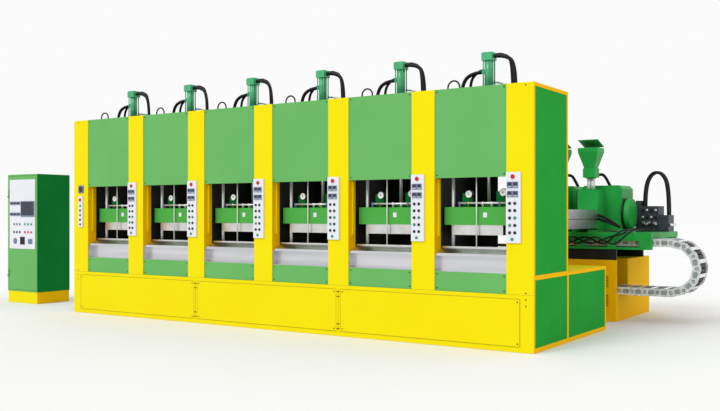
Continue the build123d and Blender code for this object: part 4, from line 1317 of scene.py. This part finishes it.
@dataclass
class Cabinet:
    """Instruments and buttons on the control cabinet's door, its wiring, and vents in its back."""

    sheet_setback: float = 0.008
    screen_share: float = 0.72
    screen_height: float = 0.665
    screen: Blocks = (
        ((0, -0.009, 0), (0.35828, 0.002, 0.260), BEZEL),
        ((0, -0.0095, 0.007), (0.33124, 0.003, 0.225), DISPLAY),
    )
    readout_columns: tuple[float, ...] = (0.065, 0.155, 0.245)
    readout_rows: Pair = (0.762, 0.578)
    readout: Blocks = (
        ((0, -0.006, 0), (0.082, 0.012, 0.050), BEZEL),
        ((0, -0.0125, 0), (0.062, 0.001, 0.030), DISPLAY),
    )
    button_radius: float = 0.020
    button_shares: tuple[float, ...] = (0.19, 0.30, 0.41, 0.62, 0.74, 0.86)
    button_rows: tuple[tuple[float, Finish, Finish], ...] = (
        (0.411, BEZEL, LIT_GREEN), (0.278, BUTTON_BLACK, RED),
    )
    button_ring: Profile = ((0, 1.2), (0.004, 1.2))
    button_cap: Profile = ((0.004, 1), (0.007, 1), (0.0075, 0.8))
    knob_share: float = 0.226
    knob_height: float = 0.13
    knob_radius: float = 0.05
    knob: Shape = ((BEZEL, 32, ((0, 1), (0.004, 1), (0.005, 0.68), (0.0075, 0.6))),)
    socket_shares: Pair = (0.516, 0.82)
    sockets: Blocks = (
        ((0, -0.003, 0.135), (0.120, 0.006, 0.127), BUTTON_BLACK),
        ((0, -0.003, 0.125), (0.110, 0.006, 0.085), BEZEL),
    )
    slats: int = 7
    slat: Point = (0.42, 0.003, 0.012)
    slat_pitch: float = 0.030
    vent_inset: float = 0.25
    wiring_rows: int = 4
    wiring_inset: float = 0.03
    duct_depth: float = 0.050
    duct_shares: Pair = (0.34, 0.48)
    rail: Pair = (0.012, 0.018)
    breakers: int = 9
    gap_every: int = 5
    dark_every: int = 3
    breaker: Point = (0.86, 0.066, 0.11)
    breaker_depth: float = 0.045
    lever: Point = (0.3, 0.008, 0.03)
    lever_place: Pair = (-0.082, 0.01)

    def build(self) -> None:
        """Add the panel's instruments, riding on the door, the vents and the wiring."""
        self._instruments()
        self._vents()
        self._wiring()

    def _instruments(self) -> None:
        """Add the screen, readouts, buttons, knob and sockets of the panel."""
        low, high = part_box("cabinet_panel")
        width = high.x - low.x
        corner = (low.x, low.y + self.sheet_setback, low.z)
        piece = Piece("cabinet_controls", Slot.PANEL)
        piece.plates(shift(corner, (width * self.screen_share, 0, self.screen_height)), self.screen)
        for z in self.readout_rows:
            for x in self.readout_columns:
                piece.plates(shift(corner, (x, 0, z)), self.readout)
        for z, left, right in self.button_rows:
            for share in self.button_shares:
                finish = left if share < 0.5 else right
                shape = ((PANEL, 24, self.button_ring), (finish, 24, self.button_cap))
                piece.knob(shift(corner, (width * share, 0, z)), self.button_radius, shape)
        piece.knob(shift(corner, (width * self.knob_share, 0, self.knob_height)), self.knob_radius, self.knob)
        for share, block in zip(self.socket_shares, self.sockets):
            piece.plates(shift(corner, (width * share, 0, 0)), (block,))
        piece.make("cabinet_door")

    def _vents(self) -> None:
        """Add two groups of slats in the back wall."""
        low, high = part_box("cabinet_shell")
        piece = Piece("cabinet_vents", Slot.BLACK)
        for z in (low.z + self.vent_inset, high.z - self.vent_inset):
            middle = ((low.x + high.x) / 2, high.y, z - self.slat_pitch / 2)
            piece.slats(middle, self.slat, self.slats, self.slat_pitch)
        piece.make("press")

    def _wiring(self) -> None:
        """Fill the wiring plate with slotted ducts and rails of breakers."""
        low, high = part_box("wiring_plate")
        left, right = low.x + self.wiring_inset, high.x - self.wiring_inset
        pitch = (high.z - low.z) / self.wiring_rows
        width = (right - left - 2 * self.wiring_inset) / self.breakers
        piece = Piece("cabinet_wiring", Slot.PANEL)
        for row in range(self.wiring_rows):
            z = low.z + pitch * (row + 0.5)
            bottom, top = (z + pitch * share for share in self.duct_shares)
            piece.box((left, low.y - self.duct_depth, bottom), (right, low.y, top), BEZEL)
            depth, half = self.rail
            piece.box((left, low.y - depth, z - half), (right, low.y, z + half), ZINC)
            # Some places on each rail stay empty, and the top rail has red levers
            for k in (k for k in range(self.breakers) if (k + 2 * row + 1) % self.gap_every):
                x = left + self.wiring_inset + width * (k + 0.5)
                body = (width * self.breaker[0], *self.breaker[1:])
                finish = PANEL if (k + row) % self.dark_every else BUTTON_BLACK
                piece.plate((x, low.y - self.breaker_depth, z), body, finish)
                lever = (width * self.lever[0], *self.lever[1:])
                out, up = self.lever_place
                finish = RED if row == self.wiring_rows - 1 else BEZEL
                piece.plate((x, low.y + out, z + up), lever, finish)
        piece.make("press")


@dataclass
class Bed:
    """Louvred hatch and doors on the bed's walls."""

    height: float = 0.42
    hatch: Point = (0.22, 0.004, 0.62)
    hatch_inset: float = 0.18
    hatch_slat: Point = (0.15, 0.004, 0.010)
    slat_offset: float = 0.13
    slats: int = 6
    slat_pitch: float = 0.028
    doors: int = 6
    door: Pair = (0.90, 0.56)
    door_slat: Point = (0.30, 0.004, 0.010)
    ends: Pair = (0.15, 0.45)
    line: Pair = (0.005, 0.0008)
    catch: Point = (0.03, 0.0024, 0.09)
    catch_place: Pair = (0.39, 0.08)

    def build(self) -> None:
        """Add the narrow hatch at the front's right end and the row of doors on both walls."""
        low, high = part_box("injection_bed")
        piece = Piece("bed_hatches", Slot.YELLOW)
        place = (high.x - self.hatch_inset, low.y, self.height)
        thick = self.hatch[1]
        piece.plate(shift(place, (0, -thick / 2, 0)), self.hatch, SHADE_DEEP_YELLOW)
        for side in (-1, 1):
            middle = shift(place, (0, -thick - MM, side * self.slat_offset))
            piece.slats(middle, self.hatch_slat, self.slats, self.slat_pitch)
        span = (high.x - low.x - sum(self.ends)) / self.doors
        across, up = self.catch_place
        for wall, side in ((low.y, -1), (high.y, 1)):
            for k in range(self.doors):
                place = (low.x + self.ends[0] + span * (k + 0.5), wall, self.height)
                edge = shift(place, (0, side * self.line[1] / 2, 0))
                # The doors' outlines are painted shadow lines round the door gaps
                piece.border(edge, self.door, self.line, SEAM)
                piece.plate(shift(edge, (across, 0, up)), self.catch, BUTTON_BLACK)
                middle = shift(place, (0, 0, -self.slat_offset))
                piece.slats(middle, self.door_slat, self.slats, self.slat_pitch)
        piece.make("press")


@dataclass
class Studio:
    """Camera at the photograph's place, soft light, pale floor and white background."""

    position: Point = (7.411, -10.1115, 1.4935)
    heading: float = math.radians(33.515)
    lens_mm: float = 44.56
    sensor_mm: float = 36.0
    lens_shift: float = 0.0112
    far: float = 200.0
    sky: str = "#FBFBFB"
    sun_strength: float = 1.1
    sun_angle: float = math.radians(25)
    sun_direction: Point = (0.25, 0.85, -0.75)
    floor_size: float = 120.0
    floor_drop: float = 0.002

    def build(self) -> None:
        """Set up view, light and floor."""
        scene = bpy.context.scene
        scene.view_settings.view_transform = "Standard"
        self._camera(scene)
        self._light(scene)
        self._floor(scene)

    def _camera(self, scene: bpy.types.Scene) -> None:
        """Place the level camera.

        Args:
            scene: Scene to add it to.
        """
        data = bpy.data.cameras.new("photo_camera")
        data.lens = self.lens_mm
        data.sensor_width = self.sensor_mm
        data.shift_y = self.lens_shift
        data.clip_end = self.far
        camera = bpy.data.objects.new("photo_camera", data)
        camera.location = self.position
        camera.rotation_euler = (math.radians(90), 0, self.heading)
        scene.collection.objects.link(camera)
        scene.camera = camera

    def _light(self, scene: bpy.types.Scene) -> None:
        """Give an even white sky and one soft sun from the front left.

        Args:
            scene: Scene to add them to.
        """
        scene.world = bpy.data.worlds.new("white_room")
        scene.world.use_nodes = True
        sky = scene.world.node_tree.nodes["Background"]
        sky.inputs["Color"].default_value = linear(self.sky)
        sky.inputs["Strength"].default_value = 1.0
        sun = bpy.data.lights.new("soft_sun", "SUN")
        sun.energy = self.sun_strength
        sun.angle = self.sun_angle
        lamp = bpy.data.objects.new("soft_sun", sun)
        lamp.rotation_euler = Vector(self.sun_direction).to_track_quat("-Z", "Y").to_euler()
        scene.collection.objects.link(lamp)

    def _floor(self, scene: bpy.types.Scene) -> None:
        """Lay the floor.

        Args:
            scene: Scene to add it to.
        """
        mesh = bpy.data.meshes.new("studio_floor")
        corners = [(a * self.floor_size, b * self.floor_size, 0) for a, b in SQUARE]
        mesh.from_pydata(corners, [], [(0, 1, 2, 3)])
        mesh.materials.append(FLOOR.build())
        floor = bpy.data.objects.new("studio_floor", mesh)
        floor.location.z = -self.floor_drop
        scene.collection.objects.link(floor)


def dress_frame() -> None:
    """Give every node of the frame the finish of its material."""
    for name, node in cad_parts.items():
        finish = next(finish for finish, starts in NODE_FINISHES.items() if name.startswith(starts))
        node.data.materials.clear()
        node.data.materials.append(finish.build())
        # Faces that point along X take a darker second finish: painted shade on the side faces of the yellow
        # parts and of the cabinet shell
        shaded_side_finish = CABINET_GREEN if name == "cabinet_shell" else SHADE_DEEP_YELLOW if finish is YELLOW else None
        if shaded_side_finish:
            node.data.materials.append(shaded_side_finish.build())
            for polygon in node.data.polygons:
                polygon.material_index = int(abs(polygon.normal.x) > SIDE_NORMAL)


def main() -> None:
    """Build the looks around the frame."""
    logging.basicConfig(level=logging.INFO, format="%(name)s: %(message)s")
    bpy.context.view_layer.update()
    dress_frame()
    press = Press()
    for assembly in (CoverScrews, SheetWork, HeaderPipes, RearWork, ControlStrips, Stations, ClampCylinders):
        assembly(press).build()
    for assembly in (EnergyChain, InjectionUnits, Manifold, Cabinet, Bed, Studio):
        assembly().build()
    bpy.context.view_layer.update()


if __name__ == "__main__":
    main()
